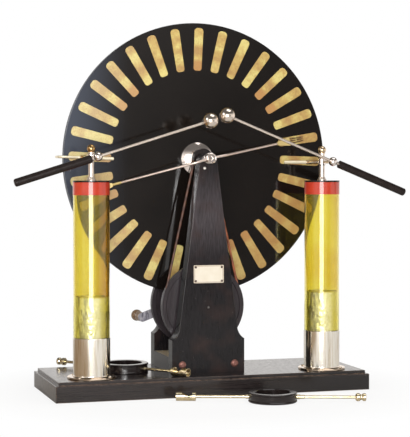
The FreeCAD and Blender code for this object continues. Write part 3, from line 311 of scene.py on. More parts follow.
pores = node(tree, "Bump", Strength=0.05, Distance=PORE_DEPTH, Height=grain)
# Painted shade: the sawn sides are coloured darker low down, where they are also duller.
outward = node(tree, "SeparateXYZ", i0=node(tree, "NewGeometry").outputs["Normal"])
sideways = node(tree, "Math", {"operation": "ABSOLUTE"}, i0=outward.outputs["X"])
sawn_side_shade = node(tree, "MapRange", Value=sideways.outputs[0], From_Min=0.5, From_Max=0.8)
low_down_shade = node(tree, "MapRange", Value=height, From_Min=SIDE_GLOSSY_UNSHADED_Z, From_Max=SIDE_DULL_SHADED_Z, To_Max=0.9)
sawn_side_shade = node(tree, "Math", TIMES, i0=sawn_side_shade.outputs[0], i1=low_down_shade.outputs[0])
wood_colour = node(tree, "Mix", COLOURS, i0=sawn_side_shade.outputs[0], i6=wood_colour.outputs[2], i7=colour("#151313"))
gloss = node(tree, "MapRange", Value=sawn_side_shade.outputs[0], To_Min=0.28, To_Max=0.1)
wood = node(tree, "BsdfPrincipled", Base_Color=wood_colour.outputs[2], Roughness=dull.outputs[0],
            Specular_IOR_Level=gloss.outputs[0], Normal=pores.outputs[0])
node(tree, "OutputMaterial", Surface=wood.outputs[0])
dress(satin_upright, "front_upright", "rear_upright")

# The block is of the same wood and stain; its top face between the uprights is painted pale
# grey-brown, a painted highlight for the light that falls between them.
FACES_UP = 0.8
stained_with_painted_top, tree = start_finish("stained_hardwood_with_painted_highlight_on_top")
grain = drawn_out(tree, node(tree, "TexCoord").outputs["Object"], "X", **UPRIGHT_GRAIN)
wood_colour = node(tree, "Mix", COLOURS, i0=grain, i6=colour("#141112"), i7=colour("#2a2627"))
# Painted highlight: pale grey-brown for the faces that look up.
variant = node(tree, "Mix", COLOURS, i0=grain, i6=colour("#a3937c"), i7=colour("#c6b79e"))
up = node(tree, "SeparateXYZ", i0=node(tree, "NewGeometry").outputs["Normal"])
on_top = node(tree, "Math", {"operation": "GREATER_THAN"}, i0=up.outputs["Z"], i1=FACES_UP)
skin = node(tree, "Mix", COLOURS, i0=on_top.outputs[0], i6=wood_colour.outputs[2], i7=variant.outputs[2])
wood = node(tree, "BsdfPrincipled", Base_Color=skin.outputs[2], Roughness=0.4, Specular_IOR_Level=0.32)
node(tree, "OutputMaterial", Surface=wood.outputs[0])
dress(stained_with_painted_top, "cross_block")

# Round-head bolts of bronzed brass, worn to a dull red brown.
bronzed = mottled_finish("bronzed_brass_bolts", ("#6b3f38", "#a5776b"), patch_mm=3.0,
                         noise={"Detail": 3.0}, Metallic=0.6, Roughness=0.45)
dress(bronzed, "upright_bolts")

# ---------------------------------------------------------------- name plate and small screws
# A small brass plate enamelled cream, left without lettering: only a fine engraved border,
# stained by polish. Its four screws are dark; the one that keeps the axle is bright.
PLATE_BORDER_MM = 1.3
PLATE_LINE_MM = 0.35
PLATE_RIM_MM = 0.4
PLATE_STAIN_MM = 9.0
LINE_STRENGTH = 0.7
low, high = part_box("nameplate")
plate_mid = [(a + b) / 2 for a, b in zip(low, high)]
plate_half = [(b - a) / 2 for a, b in zip(low, high)]
enamel, tree = start_finish("cream_enamel_on_brass")
here = node(tree, "TexCoord").outputs["Object"]
off_mid = node(tree, "VectorMath", {"operation": "SUBTRACT"}, i0=here, i1=plate_mid)
off_mid = node(tree, "VectorMath", {"operation": "ABSOLUTE"}, i0=off_mid.outputs[0])
sides = node(tree, "SeparateXYZ", i0=off_mid.outputs[0])
inset_x = node(tree, "Math", {"operation": "SUBTRACT"}, i0=plate_half[0], i1=sides.outputs["X"])
inset_z = node(tree, "Math", {"operation": "SUBTRACT"}, i0=plate_half[2], i1=sides.outputs["Z"])
inset = node(tree, "Math", {"operation": "MINIMUM"}, i0=inset_x.outputs[0], i1=inset_z.outputs[0])
line = node(tree, "Math", {"operation": "COMPARE"}, i0=inset.outputs[0], i1=PLATE_BORDER_MM / 1000,
            i2=PLATE_LINE_MM / 1000)
rim = node(tree, "Math", {"operation": "LESS_THAN"}, i0=inset.outputs[0], i1=PLATE_RIM_MM / 1000)
mark = node(tree, "Math", {"operation": "MAXIMUM"}, i0=line.outputs[0], i1=rim.outputs[0])
mark = node(tree, "Math", TIMES, i0=mark.outputs[0], i1=LINE_STRENGTH)
tone = node(tree, "TexNoise", Vector=here, Scale=1000 / PLATE_STAIN_MM, Detail=3.0)
cream = node(tree, "Mix", COLOURS, i0=tone.outputs["Fac"], i6=colour("#e6dfd0"), i7=colour("#d6cab4"))
cream = node(tree, "Mix", COLOURS, i0=mark.outputs[0], i6=cream.outputs[2], i7=colour("#8d6f55"))
plate = node(tree, "BsdfPrincipled", Base_Color=cream.outputs[2], Roughness=0.3)
node(tree, "OutputMaterial", Surface=plate.outputs[0])
dress(enamel, "nameplate")

# Small steel screws: blued and worn on the plate, bright in the keeper above it.
KEEPER_OVER_Z = 0.25
small_screw, tree = start_finish("small_screws_dark_and_bright")
lift = node(tree, "SeparateXYZ", i0=node(tree, "TexCoord").outputs["Object"])
bright = node(tree, "Math", {"operation": "GREATER_THAN"}, i0=lift.outputs["Z"], i1=KEEPER_OVER_Z)
skin = node(tree, "Mix", COLOURS, i0=bright.outputs[0], i6=colour("#5a4a42"), i7=colour("#e9e4de"))
metal = node(tree, "BsdfPrincipled", Base_Color=skin.outputs[2], Metallic=0.8, Roughness=0.35)
node(tree, "OutputMaterial", Surface=metal.outputs[0])
dress(small_screw, "small_screws")

# ---------------------------------------------------------------- metal fittings
# Turned brass, nickel plated and buffed: axle, washer, bushes, hub flanges, collars, post heads,
# stub rods and pierced balls. The plating is warm white, with faint wipe marks.
nickel = mottled_finish("polished_nickel_plate", ("#e9e0da", "#dccfc6"), patch_mm=4.0,
                        noise={"Detail": 4.0, "Roughness": 0.6}, dull=(0.07, 0.17), Metallic=1.0)
dress(nickel, "axle_bushes", "main_axle", "axle_washer", "front_hub_flange", "rear_hub_flange",
      "front_neutraliser_collar", "rear_neutraliser_collar", "post_heads", "stub_rods",
      "left_pivot_ball", "right_pivot_ball")

# The long rods and the jar posts have been wiped with a cloth for years and are duller than the
# balls; the spheres at the inner ends of the discharge rods are still bright.
WIPE_MM = 6.0
SPHERES_WITHIN_X = 0.0212
rod_nickel, tree = start_finish("wiped_nickel_rods_bright_spheres")
here = node(tree, "TexCoord").outputs["Object"]
wipes = node(tree, "TexNoise", Vector=here, Scale=1000 / WIPE_MM, Detail=4.0, Roughness=0.6)
across = node(tree, "SeparateXYZ", i0=here)
across = node(tree, "Math", {"operation": "ABSOLUTE"}, i0=across.outputs["X"])
on_rod = node(tree, "Math", {"operation": "GREATER_THAN"}, i0=across.outputs[0], i1=SPHERES_WITHIN_X)
dull = node(tree, "MapRange", Value=on_rod.outputs[0], To_Min=0.1, To_Max=0.36)
skin = node(tree, "Mix", COLOURS, i0=wipes.outputs["Fac"], i6=colour("#e4d8cd"), i7=colour("#c8baad"))
metal = node(tree, "BsdfPrincipled", Base_Color=skin.outputs[2], Metallic=1.0, Roughness=dull.outputs[0])
node(tree, "OutputMaterial", Surface=metal.outputs[0])
dress(rod_nickel, "left_discharge_rod", "right_discharge_rod", "jar_posts")

# The combs are nickelled as well, and the plating has yellowed to a pale cream.
comb_nickel = mottled_finish("yellowed_nickel_combs", ("#f8f0db", "#e6d8b4"), patch_mm=5.0,
                             noise={"Detail": 4.0, "Roughness": 0.6}, Metallic=0.6, Roughness=0.42)
dress(comb_nickel, "comb_forks", "comb_bars", "comb_points")

# The neutraliser rods end in flat flared holders of unplated brass, gone matt and pale.
HOLDER_FROM = 0.1085
low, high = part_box("main_axle")
axle_z = (low[2] + high[2]) / 2
holder_rods, tree = start_finish("wiped_nickel_rods_brass_holders")
here = node(tree, "TexCoord").outputs["Object"]
flat = node(tree, "VectorMath", {"operation": "SUBTRACT"}, i0=here, i1=(0, 0, axle_z))
flat = node(tree, "VectorMath", TIMES, i0=flat.outputs[0], i1=(1, 0, 1))
reach = node(tree, "VectorMath", {"operation": "LENGTH"}, i0=flat.outputs[0])
on_holder = node(tree, "Math", {"operation": "GREATER_THAN"}, i0=reach.outputs["Value"], i1=HOLDER_FROM)
wipes = node(tree, "TexNoise", Vector=here, Scale=1000 / WIPE_MM, Detail=4.0, Roughness=0.6)
skin = node(tree, "Mix", COLOURS, i0=wipes.outputs["Fac"], i6=colour("#ead9d0"), i7=colour("#d3bfb4"))
skin = node(tree, "Mix", COLOURS, i0=on_holder.outputs[0], i6=skin.outputs[2], i7=colour("#cdb678"))
plated = node(tree, "MapRange", Value=on_holder.outputs[0], To_Min=1.0, To_Max=0.35)
dull = node(tree, "MapRange", Value=on_holder.outputs[0], To_Min=0.34, To_Max=0.48)
metal = node(tree, "BsdfPrincipled", Base_Color=skin.outputs[2], Metallic=plated.outputs[0],
             Roughness=dull.outputs[0])
node(tree, "OutputMaterial", Surface=metal.outputs[0])
dress(holder_rods, "front_neutraliser_rods", "rear_neutraliser_rods")

# The crank arm is filed from steel bar and only lightly polished, with cross marks of the file.
FILE_MARK_LONG_MM = 9.0
FILE_MARK_WIDE_MM = 2.5
filed_steel, tree = start_finish("filed_steel_bar")
marks = drawn_out(tree, node(tree, "TexCoord").outputs["Object"], "Z", FILE_MARK_LONG_MM,
                  FILE_MARK_WIDE_MM, Detail=3.0, Distortion=0.8)
streak = node(tree, "MapRange", Value=marks, From_Min=0.38, From_Max=0.62)
skin = node(tree, "Mix", COLOURS, i0=streak.outputs[0], i6=colour("#5f5d69"), i7=colour("#b6b3bb"))
metal = node(tree, "BsdfPrincipled", Base_Color=skin.outputs[2], Metallic=0.55, Roughness=0.42)
node(tree, "OutputMaterial", Surface=metal.outputs[0])
dress(filed_steel, "crank_arm")

# Lacquered brass: shaft bushes, finials, tees and the rods inside the jars. The lacquer has
# warmed, and the pieces on the right-hand jar are paler.
LACQUER_SPOT_MM = 3.5
RIGHT_JAR_OVER_X = 0.12
RIGHT_JAR_PALER = 0.65
brass, tree = start_finish("lacquered_brass")
here = node(tree, "TexCoord").outputs["Object"]
spots = node(tree, "TexNoise", Vector=here, Scale=1000 / LACQUER_SPOT_MM, Detail=3.0)
skin = node(tree, "Mix", COLOURS, i0=spots.outputs["Fac"], i6=colour("#c9a672"), i7=colour("#94703f"))
# The pieces on the right-hand jar are paler.
place = node(tree, "SeparateXYZ", i0=here)
variant = node(tree, "Math", {"operation": "GREATER_THAN"}, i0=place.outputs["X"], i1=RIGHT_JAR_OVER_X)
variant = node(tree, "Math", TIMES, i0=variant.outputs[0], i1=RIGHT_JAR_PALER)
skin = node(tree, "Mix", COLOURS, i0=variant.outputs[0], i6=skin.outputs[2], i7=colour("#dcc9ae"))
metal = node(tree, "BsdfPrincipled", Base_Color=skin.outputs[2], Metallic=1.0, Roughness=0.22)
node(tree, "OutputMaterial", Surface=metal.outputs[0])
dress(brass, "shaft_bushes", "post_finials", "comb_tees", "jar_inner_rods")

# ---------------------------------------------------------------- plates
# Hard rubber sheet, sawn round and rubbed down: nearly black, semi-gloss, with faint scratches
# left by dusting and a blue-grey reflection painted on its left side.
HAZE_MM = 60.0
SCRATCH_MM = 2.2
SCRATCH_DEPTH = 0.0001
REFLECTION_FROM_X = -0.085
REFLECTION_FULL_X = -0.175
ebonite_sheet, tree = start_finish("ebonite_sheet_semi_gloss")
here = node(tree, "TexCoord").outputs["Object"]
place = node(tree, "SeparateXYZ", i0=here)
haze = node(tree, "TexNoise", Vector=here, Scale=1000 / HAZE_MM, Detail=3.0, Roughness=0.5)
fine = node(tree, "TexNoise", Vector=here, Scale=1000 / SCRATCH_MM, Detail=2.0)
tone_and_painted_reflection = node(tree, "Mix", COLOURS, i0=haze.outputs["Fac"], i6=colour("#0d0a09"), i7=colour("#191411"))
# Painted reflection: blue-grey laid over the left side of the sheet.
painted_reflection = node(tree, "MapRange", EASED, Value=place.outputs["X"], From_Min=REFLECTION_FROM_X,
             From_Max=REFLECTION_FULL_X, To_Max=0.9)
tone_and_painted_reflection = node(tree, "Mix", COLOURS, i0=painted_reflection.outputs[0], i6=tone_and_painted_reflection.outputs[2], i7=colour("#434853"))
dull = node(tree, "MapRange", Value=haze.outputs["Fac"], From_Min=0.3, From_Max=0.7,
            To_Min=0.07, To_Max=0.12)
rubbing = node(tree, "Bump", Strength=0.02, Distance=SCRATCH_DEPTH, Height=fine.outputs["Fac"])
sheet = node(tree, "BsdfPrincipled", Base_Color=tone_and_painted_reflection.outputs[2], Roughness=dull.outputs[0],
             Specular_IOR_Level=0.3, Normal=rubbing.outputs[0])
node(tree, "OutputMaterial", Surface=sheet.outputs[0])
dress(ebonite_sheet, "front_plate", "rear_plate")

# ---------------------------------------------------------------- sectors
# Strips of thin brass leaf glued on the sheet. Brushes and fingers have tarnished them in patches,
# from pale yellow to ochre and copper. They are darker and more orange to the lower right, and paler to
# the left.
SECTOR_STEP = 2 * math.pi / 32
STRIP_EDGE = 3.25
STRIP_SPREAD = 9.7
BAND_MM = 16.0
MOTTLE_MM = 5.0
MOTTLE_SHARE = 0.6
SMEAR_MM = 14.0
SPECK_MM = 1.4
SPECK_DEPTH = 0.0003
COPPER_ENDS_SPREAD = 2.3
COPPER_FROM = 0.131
COPPER_FULL = 0.126
LOWER_RIGHT = (0.77, 0, -0.64)
LOWER_RIGHT_FROM = 0.06
LOWER_RIGHT_FULL = 0.15
PALER_FROM_X = -0.05
PALER_FULL_X = -0.14
leaf, tree = start_finish("brass_leaf_tarnished")
here = node(tree, "TexCoord").outputs["Object"]
hub_place = node(tree, "VectorMath", {"operation": "SUBTRACT"}, i0=here, i1=(0, 0, axle_z))
spot = node(tree, "SeparateXYZ", i0=hub_place.outputs[0])

# Each strip gets its own bands: its number and the place along it are the pattern's coordinates.
turn = node(tree, "Math", {"operation": "ARCTAN2"}, i0=spot.outputs["Z"], i1=spot.outputs["X"])
turn = node(tree, "Math", {"operation": "ADD"}, i0=turn.outputs[0], i1=math.radians(STRIP_EDGE))
strip = node(tree, "Math", {"operation": "SNAP"}, i0=turn.outputs[0], i1=SECTOR_STEP)
apart = node(tree, "Math", TIMES, i0=strip.outputs[0], i1=STRIP_SPREAD)
reach = node(tree, "VectorMath", {"operation": "LENGTH"}, i0=hub_place.outputs[0])
along = node(tree, "Math", TIMES, i0=reach.outputs["Value"], i1=1000 / BAND_MM)
strip_place = node(tree, "CombineXYZ", X=apart.outputs[0], Y=along.outputs[0])
band = node(tree, "TexNoise", Vector=strip_place.outputs[0], Scale=1.0, Detail=0.5)
strip_place = node(tree, "CombineXYZ", X=strip.outputs[0])
ends = node(tree, "TexNoise", Vector=strip_place.outputs[0], Scale=COPPER_ENDS_SPREAD, Detail=0.0)
speck = node(tree, "TexNoise", Vector=here, Scale=1000 / SPECK_MM, Detail=3.0, Roughness=0.7)
smear = node(tree, "TexNoise", Vector=here, Scale=1000 / SMEAR_MM, Detail=3.0)
mottle = node(tree, "TexNoise", Vector=here, Scale=1000 / MOTTLE_MM, Detail=3.0, Roughness=0.6)
uneven = node(tree, "Math", {"operation": "MULTIPLY_ADD"}, i0=mottle.outputs["Fac"], i1=MOTTLE_SHARE,
              i2=-MOTTLE_SHARE / 2)
tarnish = node(tree, "Math", {"operation": "ADD"}, i0=band.outputs["Fac"], i1=uneven.outputs[0])
pale = node(tree, "MapRange", Value=tarnish.outputs[0], From_Min=0.5, From_Max=0.66)
deep = node(tree, "MapRange", Value=tarnish.outputs[0], From_Min=0.48, From_Max=0.32)
inner = node(tree, "MapRange", Value=reach.outputs["Value"], From_Min=COPPER_FROM, From_Max=COPPER_FULL)
copper = node(tree, "MapRange", Value=ends.outputs["Fac"], From_Min=0.5, From_Max=0.56)
copper = node(tree, "Math", TIMES, i0=inner.outputs[0], i1=copper.outputs[0])
skin = node(tree, "Mix", COLOURS, i0=smear.outputs["Fac"], i6=colour("#b99a58"), i7=colour("#bda35f"))
skin = node(tree, "Mix", COLOURS, i0=pale.outputs[0], i6=skin.outputs[2], i7=colour("#cfc077"))
skin = node(tree, "Mix", COLOURS, i0=deep.outputs[0], i6=skin.outputs[2], i7=colour("#a98550"))
skin = node(tree, "Mix", COLOURS, i0=copper.outputs[0], i6=skin.outputs[2], i7=colour("#b0824c"))
# Darker and more orange towards the lower right.
toward_lower_right = node(tree, "VectorMath", DOT, i0=hub_place.outputs[0], i1=LOWER_RIGHT)
lower_right_darker = node(tree, "MapRange", Value=toward_lower_right.outputs["Value"], From_Min=LOWER_RIGHT_FROM, From_Max=LOWER_RIGHT_FULL,
           To_Max=0.55)
skin = node(tree, "Mix", COLOURS, i0=lower_right_darker.outputs[0], i6=skin.outputs[2], i7=colour("#9c6f3c"))
# Paler towards the left.
paler_zone = node(tree, "MapRange", Value=spot.outputs["X"], From_Min=PALER_FROM_X, From_Max=PALER_FULL_X,
             To_Max=0.4)
skin = node(tree, "Mix", COLOURS, i0=paler_zone.outputs[0], i6=skin.outputs[2], i7=colour("#c4b896"))
freckle = node(tree, "MapRange", Value=speck.outputs["Fac"], From_Min=0.52, From_Max=0.66, To_Max=0.5)
skin = node(tree, "Mix", COLOURS, i0=freckle.outputs[0], i6=skin.outputs[2], i7=colour("#96743f"))
wrinkle = node(tree, "Bump", Strength=0.2, Distance=SPECK_DEPTH, Height=speck.outputs["Fac"])
metal = node(tree, "BsdfPrincipled", Base_Color=skin.outputs[2], Metallic=0.25, Roughness=0.45,
             Normal=wrinkle.outputs[0])
node(tree, "OutputMaterial", Surface=metal.outputs[0])
dress(leaf, "front_sectors", "rear_sectors")

# ---------------------------------------------------------------- neutraliser brushes
# Tufts of fine tinsel wire pinched in the flat holders. The wires are dark with a copper glint,
# fan a little and end a hair's breadth off the sectors.
GLINT_MM = 1.6
tinsel, tree = start_finish("fine_tinsel_wire")
here = node(tree, "TexCoord").outputs["Object"]
glint = node(tree, "TexNoise", Vector=here, Scale=1000 / GLINT_MM, Detail=2.0)
spark = node(tree, "MapRange", Value=glint.outputs["Fac"], From_Min=0.42, From_Max=0.6)
skin = node(tree, "Mix", COLOURS, i0=spark.outputs[0], i6=colour("#1a0f0b"), i7=colour("#74433a"))
metal = node(tree, "BsdfPrincipled", Base_Color=skin.outputs[2], Metallic=0.5, Roughness=0.4)
node(tree, "OutputMaterial", Surface=metal.outputs[0])

# One wire: a square drawn up in short steps that sway, which gives the tinsel its wave.
WIRE_RADIUS = 0.00015
WIRE_LENGTH = 0.020
WIRE_STEPS = 6
WIRE_WAVE = 0.00035
WAVE_TURN = 2.2
WAVE_ASIDE = 0.6
bpy.ops.object.select_all(action="DESELECT")
bpy.ops.mesh.primitive_circle_add(vertices=4, radius=WIRE_RADIUS, fill_type="NGON", location=(0, 0, 0))
wire = bpy.context.object
bpy.ops.object.mode_set(mode="EDIT")
for step in range(WIRE_STEPS):
    sway = WIRE_WAVE * (math.cos(WAVE_TURN * (step + 1)) - math.cos(WAVE_TURN * step))
    rise = (sway, sway * WAVE_ASIDE, WIRE_LENGTH / WIRE_STEPS)
    bpy.ops.mesh.extrude_region_move(TRANSFORM_OT_translate={"value": rise})
bpy.ops.mesh.select_all(action="SELECT")
bpy.ops.mesh.normals_make_consistent(inside=False)
bpy.ops.object.mode_set(mode="OBJECT")

TUFT_WIRES = 21
TUFT_LOCKS = 3
TUFT_HALF_WIDTH = 0.0048
TUFT_HALF_THICK = 0.0007
TUFT_NARROWS = 0.72
TUFT_THINS = 0.4
LOCK_SPREAD = 0.13
SHORTEST_WIRE = 0.93
ANY_TURN = 6.28
random.seed(7)


def tuft_at(start, end, sideways):
    """Copies of the wire laid side by side from a holder's mouth to the plate."""
    run = (end - start).normalized()
    up = run.cross(sideways).normalized()
    copies = []
    for i in range(TUFT_WIRES):
        lock = i % TUFT_LOCKS
        share = 2 * (lock + 0.5) / TUFT_LOCKS - 1 + random.uniform(-LOCK_SPREAD, LOCK_SPREAD)
        side = share * TUFT_HALF_WIDTH
        lift = random.uniform(-1, 1) * TUFT_HALF_THICK
        root = start + sideways * side + up * lift
        tip = end + sideways * (side * TUFT_NARROWS) + up * (lift * TUFT_THINS)
        along = tip - root
        turn = along.to_track_quat("Z", "X").to_matrix().to_4x4()
        length = along.length / WIRE_LENGTH * random.uniform(SHORTEST_WIRE, 1.0)
        stretch = Matrix.Scale(length, 4, (0, 0, 1))
        spin = Matrix.Rotation(random.uniform(0, ANY_TURN), 4, "Z")
        copy = wire.copy()
        copy.data = wire.data.copy()
        copy.data.transform(Matrix.Translation(root) @ turn @ spin @ stretch)
        bpy.context.collection.objects.link(copy)
        copies.append(copy)
    return copies


# Each arm's angle in degrees, and how far from the axle its wires end.
FRONT_ARMS = ((10.6, 0.149), (180 + 16.3, 0.158))
REAR_ARMS = ((-13.0, 0.149), (180 - 13.0, 0.149))
HOLDER_LENGTH = 0.018
HOLDER_STAND_OFF = 0.0062
HOLDER_LEAN = 0.003
HOLDER_OVERLAP = 0.0016
HOLDER_MOUTH = 0.0008
BRUSH_OFF_PLATE = 0.0007
TIP_LIFT = 0.0004
front_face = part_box("front_plate")[0][1]
rear_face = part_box("rear_plate")[1][1]
for where, face, out_y, arms in (("front", front_face, -1, FRONT_ARMS), ("rear", rear_face, 1, REAR_ARMS)):
    wires = []
    for angle, reach_end in arms:
        out = Vector((math.cos(math.radians(angle)), 0, math.sin(math.radians(angle))))
        sideways = Vector((-out.z, 0, out.x))
        tip_y = face + out_y * BRUSH_OFF_PLATE
        lean = (Vector((0, -out_y * HOLDER_LEAN, 0)) + out * HOLDER_LENGTH).normalized()
        root_reach = reach_end - WIRE_LENGTH - HOLDER_LENGTH - HOLDER_OVERLAP
        root = Vector((0, tip_y + out_y * HOLDER_STAND_OFF, axle_z)) + out * root_reach
        end = Vector((0, tip_y + out_y * TIP_LIFT, axle_z)) + out * reach_end
        wires += tuft_at(root + lean * (HOLDER_LENGTH - HOLDER_MOUTH), end, sideways)
    bpy.ops.object.select_all(action="DESELECT")
    for piece in wires:
        piece.select_set(True)
    bpy.context.view_layer.objects.active = wires[0]
    bpy.ops.object.join()
    tuft = bpy.context.object
    tuft.name = where + "_tinsel"
    tuft.data.materials.clear()
    tuft.data.materials.append(tinsel)
    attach(tuft, where + "_neutraliser")
    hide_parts(where + "_brushes")
bpy.data.objects.remove(wire)

# ---------------------------------------------------------------- turned hard rubber
# Hubs, jar lids, discharge handles and loose rings, turned from hard rubber rod and polished on
# the lathe: black with a brown warmth, and glossy.
turned_ebonite = mottled_finish("turned_ebonite_polished", ("#130f0f", "#261e1d"), patch_mm=8.0,
                                noise={"Detail": 4.0}, dull=(0.1, 0.2), Specular_IOR_Level=0.4)
dress(turned_ebonite, "front_hub", "rear_hub", "jar_lids", "front_gap_ring", "rear_gap_ring")

# The discharge handles are the same rubber, but years of holding have left them satin and browner.
held_ebonite = mottled_finish("turned_ebonite_satin_from_hands", ("#120d0c", "#251b18"), patch_mm=6.0,
                              noise={"Detail": 4.0}, dull=(0.3, 0.45), Specular_IOR_Level=0.22)
dress(held_ebonite, "left_handle", "right_handle")

# ---------------------------------------------------------------- drive pulleys
# Turned from the uprights' hardwood, stained black and pressed on the crank shaft. The stain has
# faded to a purple black, and the grain shows through it.
satin_pulley, tree = start_finish("black_stained_turned_hardwood")
grain = drawn_out(tree, node(tree, "TexCoord").outputs["Object"], "Z", **UPRIGHT_GRAIN)
streak = node(tree, "MapRange", Value=grain, From_Min=0.32, From_Max=0.68)
wood_colour = node(tree, "Mix", COLOURS, i0=streak.outputs[0], i6=colour("#1d181a"), i7=colour("#352d31"))
wood = node(tree, "BsdfPrincipled", Base_Color=wood_colour.outputs[2], Roughness=0.34, Specular_IOR_Level=0.35)
node(tree, "OutputMaterial", Surface=wood.outputs[0])
dress(satin_pulley, "front_drive_pulley", "rear_drive_pulley")

# ---------------------------------------------------------------- belts
# Endless round cords of twisted gut, waxed red brown, with the right-hand run painted paler as painted
# light. The real twist repeats every 2.6 mm; it is drawn about six times as coarse so that it shows.
TWIST_MM = 2.6
TWIST_DEPTH = 0.0003
PALE_RUN_EDGE = 0.01
gut, tree = start_finish("waxed_twisted_gut_cord")
here = node(tree, "TexCoord").outputs["Object"]
place = node(tree, "SeparateXYZ", i0=here)
twist = node(tree, "TexWave", {"bands_direction": "DIAGONAL"}, Vector=here, Scale=1000 / TWIST_MM / 10,
             Distortion=1.0, Detail=1.0).outputs["Fac"]
# Painted light: the right-hand run is coloured paler than the left.
painted_light_run = node(tree, "MapRange", Value=place.outputs["X"], From_Min=-PALE_RUN_EDGE, From_Max=PALE_RUN_EDGE)
dark = node(tree, "Mix", COLOURS, i0=twist, i6=colour("#3c2219"), i7=colour("#5e3828"))
bright = node(tree, "Mix", COLOURS, i0=twist, i6=colour("#74381c"), i7=colour("#a55a33"))
skin = node(tree, "Mix", COLOURS, i0=painted_light_run.outputs[0], i6=dark.outputs[2], i7=bright.outputs[2])
ridge = node(tree, "Bump", Strength=0.4, Distance=TWIST_DEPTH, Height=twist)
cord = node(tree, "BsdfPrincipled", Base_Color=skin.outputs[2], Roughness=0.45, Normal=ridge.outputs[0])
node(tree, "OutputMaterial", Surface=cord.outputs[0])
dress(gut, "front_belt", "rear_belt")

# ---------------------------------------------------------------- crank grip
# Turned from beech with the grain along its pin, and varnished, which leaves it glossy. The hand
# has darkened it in streaks.
GRIP_GRAIN_LONG_MM = 12.0
GRIP_GRAIN_WIDE_MM = 1.2
grip_wood, tree = start_finish("varnished_turned_beech")
grain = drawn_out(tree, node(tree, "TexCoord").outputs["Object"], "Y", GRIP_GRAIN_LONG_MM,
                  GRIP_GRAIN_WIDE_MM, Detail=4.0)
skin = node(tree, "Mix", COLOURS, i0=grain, i6=colour("#5c4535"), i7=colour("#937659"))
wood = node(tree, "BsdfPrincipled", Base_Color=skin.outputs[2], Roughness=0.25, IOR=1.5)
node(tree, "OutputMaterial", Surface=wood.outputs[0])
dress(grip_wood, "crank_grip", "crank_grip_knob")

# ---------------------------------------------------------------- jar cups
# Spun brass cups with a soldered flange, nickel plated and rubbed up and down, which has
# left upright streaks; the flange is duller. Four small round-head screws hold each flange.
RUB_LONG_MM = 40.0
RUB_WIDE_MM = 1.6
FLANGE_THICK = 0.0035
cup_nickel, tree = start_finish("rubbed_nickel_plate")
here = node(tree, "TexCoord").outputs["Object"]
streaks = drawn_out(tree, here, "Z", RUB_LONG_MM, RUB_WIDE_MM, Detail=4.0, Roughness=0.6)
dull = node(tree, "MapRange", Value=streaks, From_Min=0.3, From_Max=0.7, To_Min=0.08, To_Max=0.2)
rub = node(tree, "MapRange", Value=streaks, From_Min=0.48, From_Max=0.7)
skin = node(tree, "Mix", COLOURS, i0=rub.outputs[0], i6=colour("#fbf6ec"), i7=colour("#d6c4a4"))
lift = node(tree, "SeparateXYZ", i0=here)
on_flange = node(tree, "Math", {"operation": "LESS_THAN"}, i0=lift.outputs["Z"],
                 i1=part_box("jar_cups")[0][2] + FLANGE_THICK)
skin = node(tree, "Mix", COLOURS, i0=on_flange.outputs[0], i6=skin.outputs[2], i7=colour("#cdbaa5"))
metal = node(tree, "BsdfPrincipled", Base_Color=skin.outputs[2], Metallic=1.0, Roughness=dull.outputs[0])
node(tree, "OutputMaterial", Surface=metal.outputs[0])
dress(cup_nickel, "jar_cups", "jar_flange_screws")

# ---------------------------------------------------------------- jar glasses and red bands
# Blown glass tubes with a closed foot, lacquered amber yellow for insulation, so that they are
# clear but tint what is behind them. A band of red varnish is painted round the top.
FLOW_LONG_MM = 70.0
FLOW_WIDE_MM = 5.0
POOL_MM = 45.0
JAR_RADIUS = 0.0205
SHADE_FROM = -0.002
SHADE_FULL = 0.018
SHADE_STRENGTH = 0.6
FOIL_TOP_SOFT = 0.002
low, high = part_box("jar_foils")
left_jar_x = low[0] + JAR_RADIUS
amber, tree = start_finish("amber_lacquered_glass")
here = node(tree, "TexCoord").outputs["Object"]
spot = node(tree, "SeparateXYZ", i0=here)
flow = drawn_out(tree, here, "Z", FLOW_LONG_MM, FLOW_WIDE_MM, Detail=3.0)
pool = node(tree, "TexNoise", Vector=here, Scale=1000 / POOL_MM, Detail=1.0)
thick = node(tree, "MapRange", Value=pool.outputs["Fac"], From_Min=0.45, From_Max=0.65, To_Max=0.5)
grazing = node(tree, "LayerWeight", Blend=0.25)
tint = node(tree, "Mix", COLOURS, i0=flow, i6=colour("#f3ec86"), i7=colour("#f0e272"))
tint = node(tree, "Mix", COLOURS, i0=thick.outputs[0], i6=tint.outputs[2], i7=colour("#e8cf5c"))
tint = node(tree, "Mix", COLOURS, i0=grazing.outputs["Facing"], i6=tint.outputs[2], i7=colour("#dfbd48"))

# Painted shade darkens the right of the left jar to orange; the lacquer is thin over the foils.
on_right = node(tree, "MapRange", EASED, Value=spot.outputs["X"], From_Min=left_jar_x + SHADE_FROM,
                From_Max=left_jar_x + SHADE_FULL)
on_left_jar = node(tree, "Math", {"operation": "LESS_THAN"}, i0=spot.outputs["X"], i1=0.0)
painted_shade = node(tree, "Math", TIMES, i0=on_right.outputs[0], i1=on_left_jar.outputs[0])
painted_shade = node(tree, "Math", TIMES, i0=painted_shade.outputs[0], i1=SHADE_STRENGTH)
tint = node(tree, "Mix", COLOURS, i0=painted_shade.outputs[0], i6=tint.outputs[2], i7=colour("#c48f42"))
thin = node(tree, "MapRange", Value=spot.outputs["Z"], From_Min=high[2], From_Max=high[2] - FOIL_TOP_SOFT,
            To_Max=0.86)
slant = node(tree, "LayerWeight", Blend=0.5)
slant = node(tree, "MapRange", Value=slant.outputs["Facing"], From_Min=0.04, From_Max=0.32)
clear = node(tree, "Mix", COLOURS, i0=slant.outputs[0], i6=colour("#fdfcec"), i7=colour("#f0e46c"))
tint = node(tree, "Mix", COLOURS, i0=thin.outputs[0], i6=tint.outputs[2], i7=clear.outputs[2])
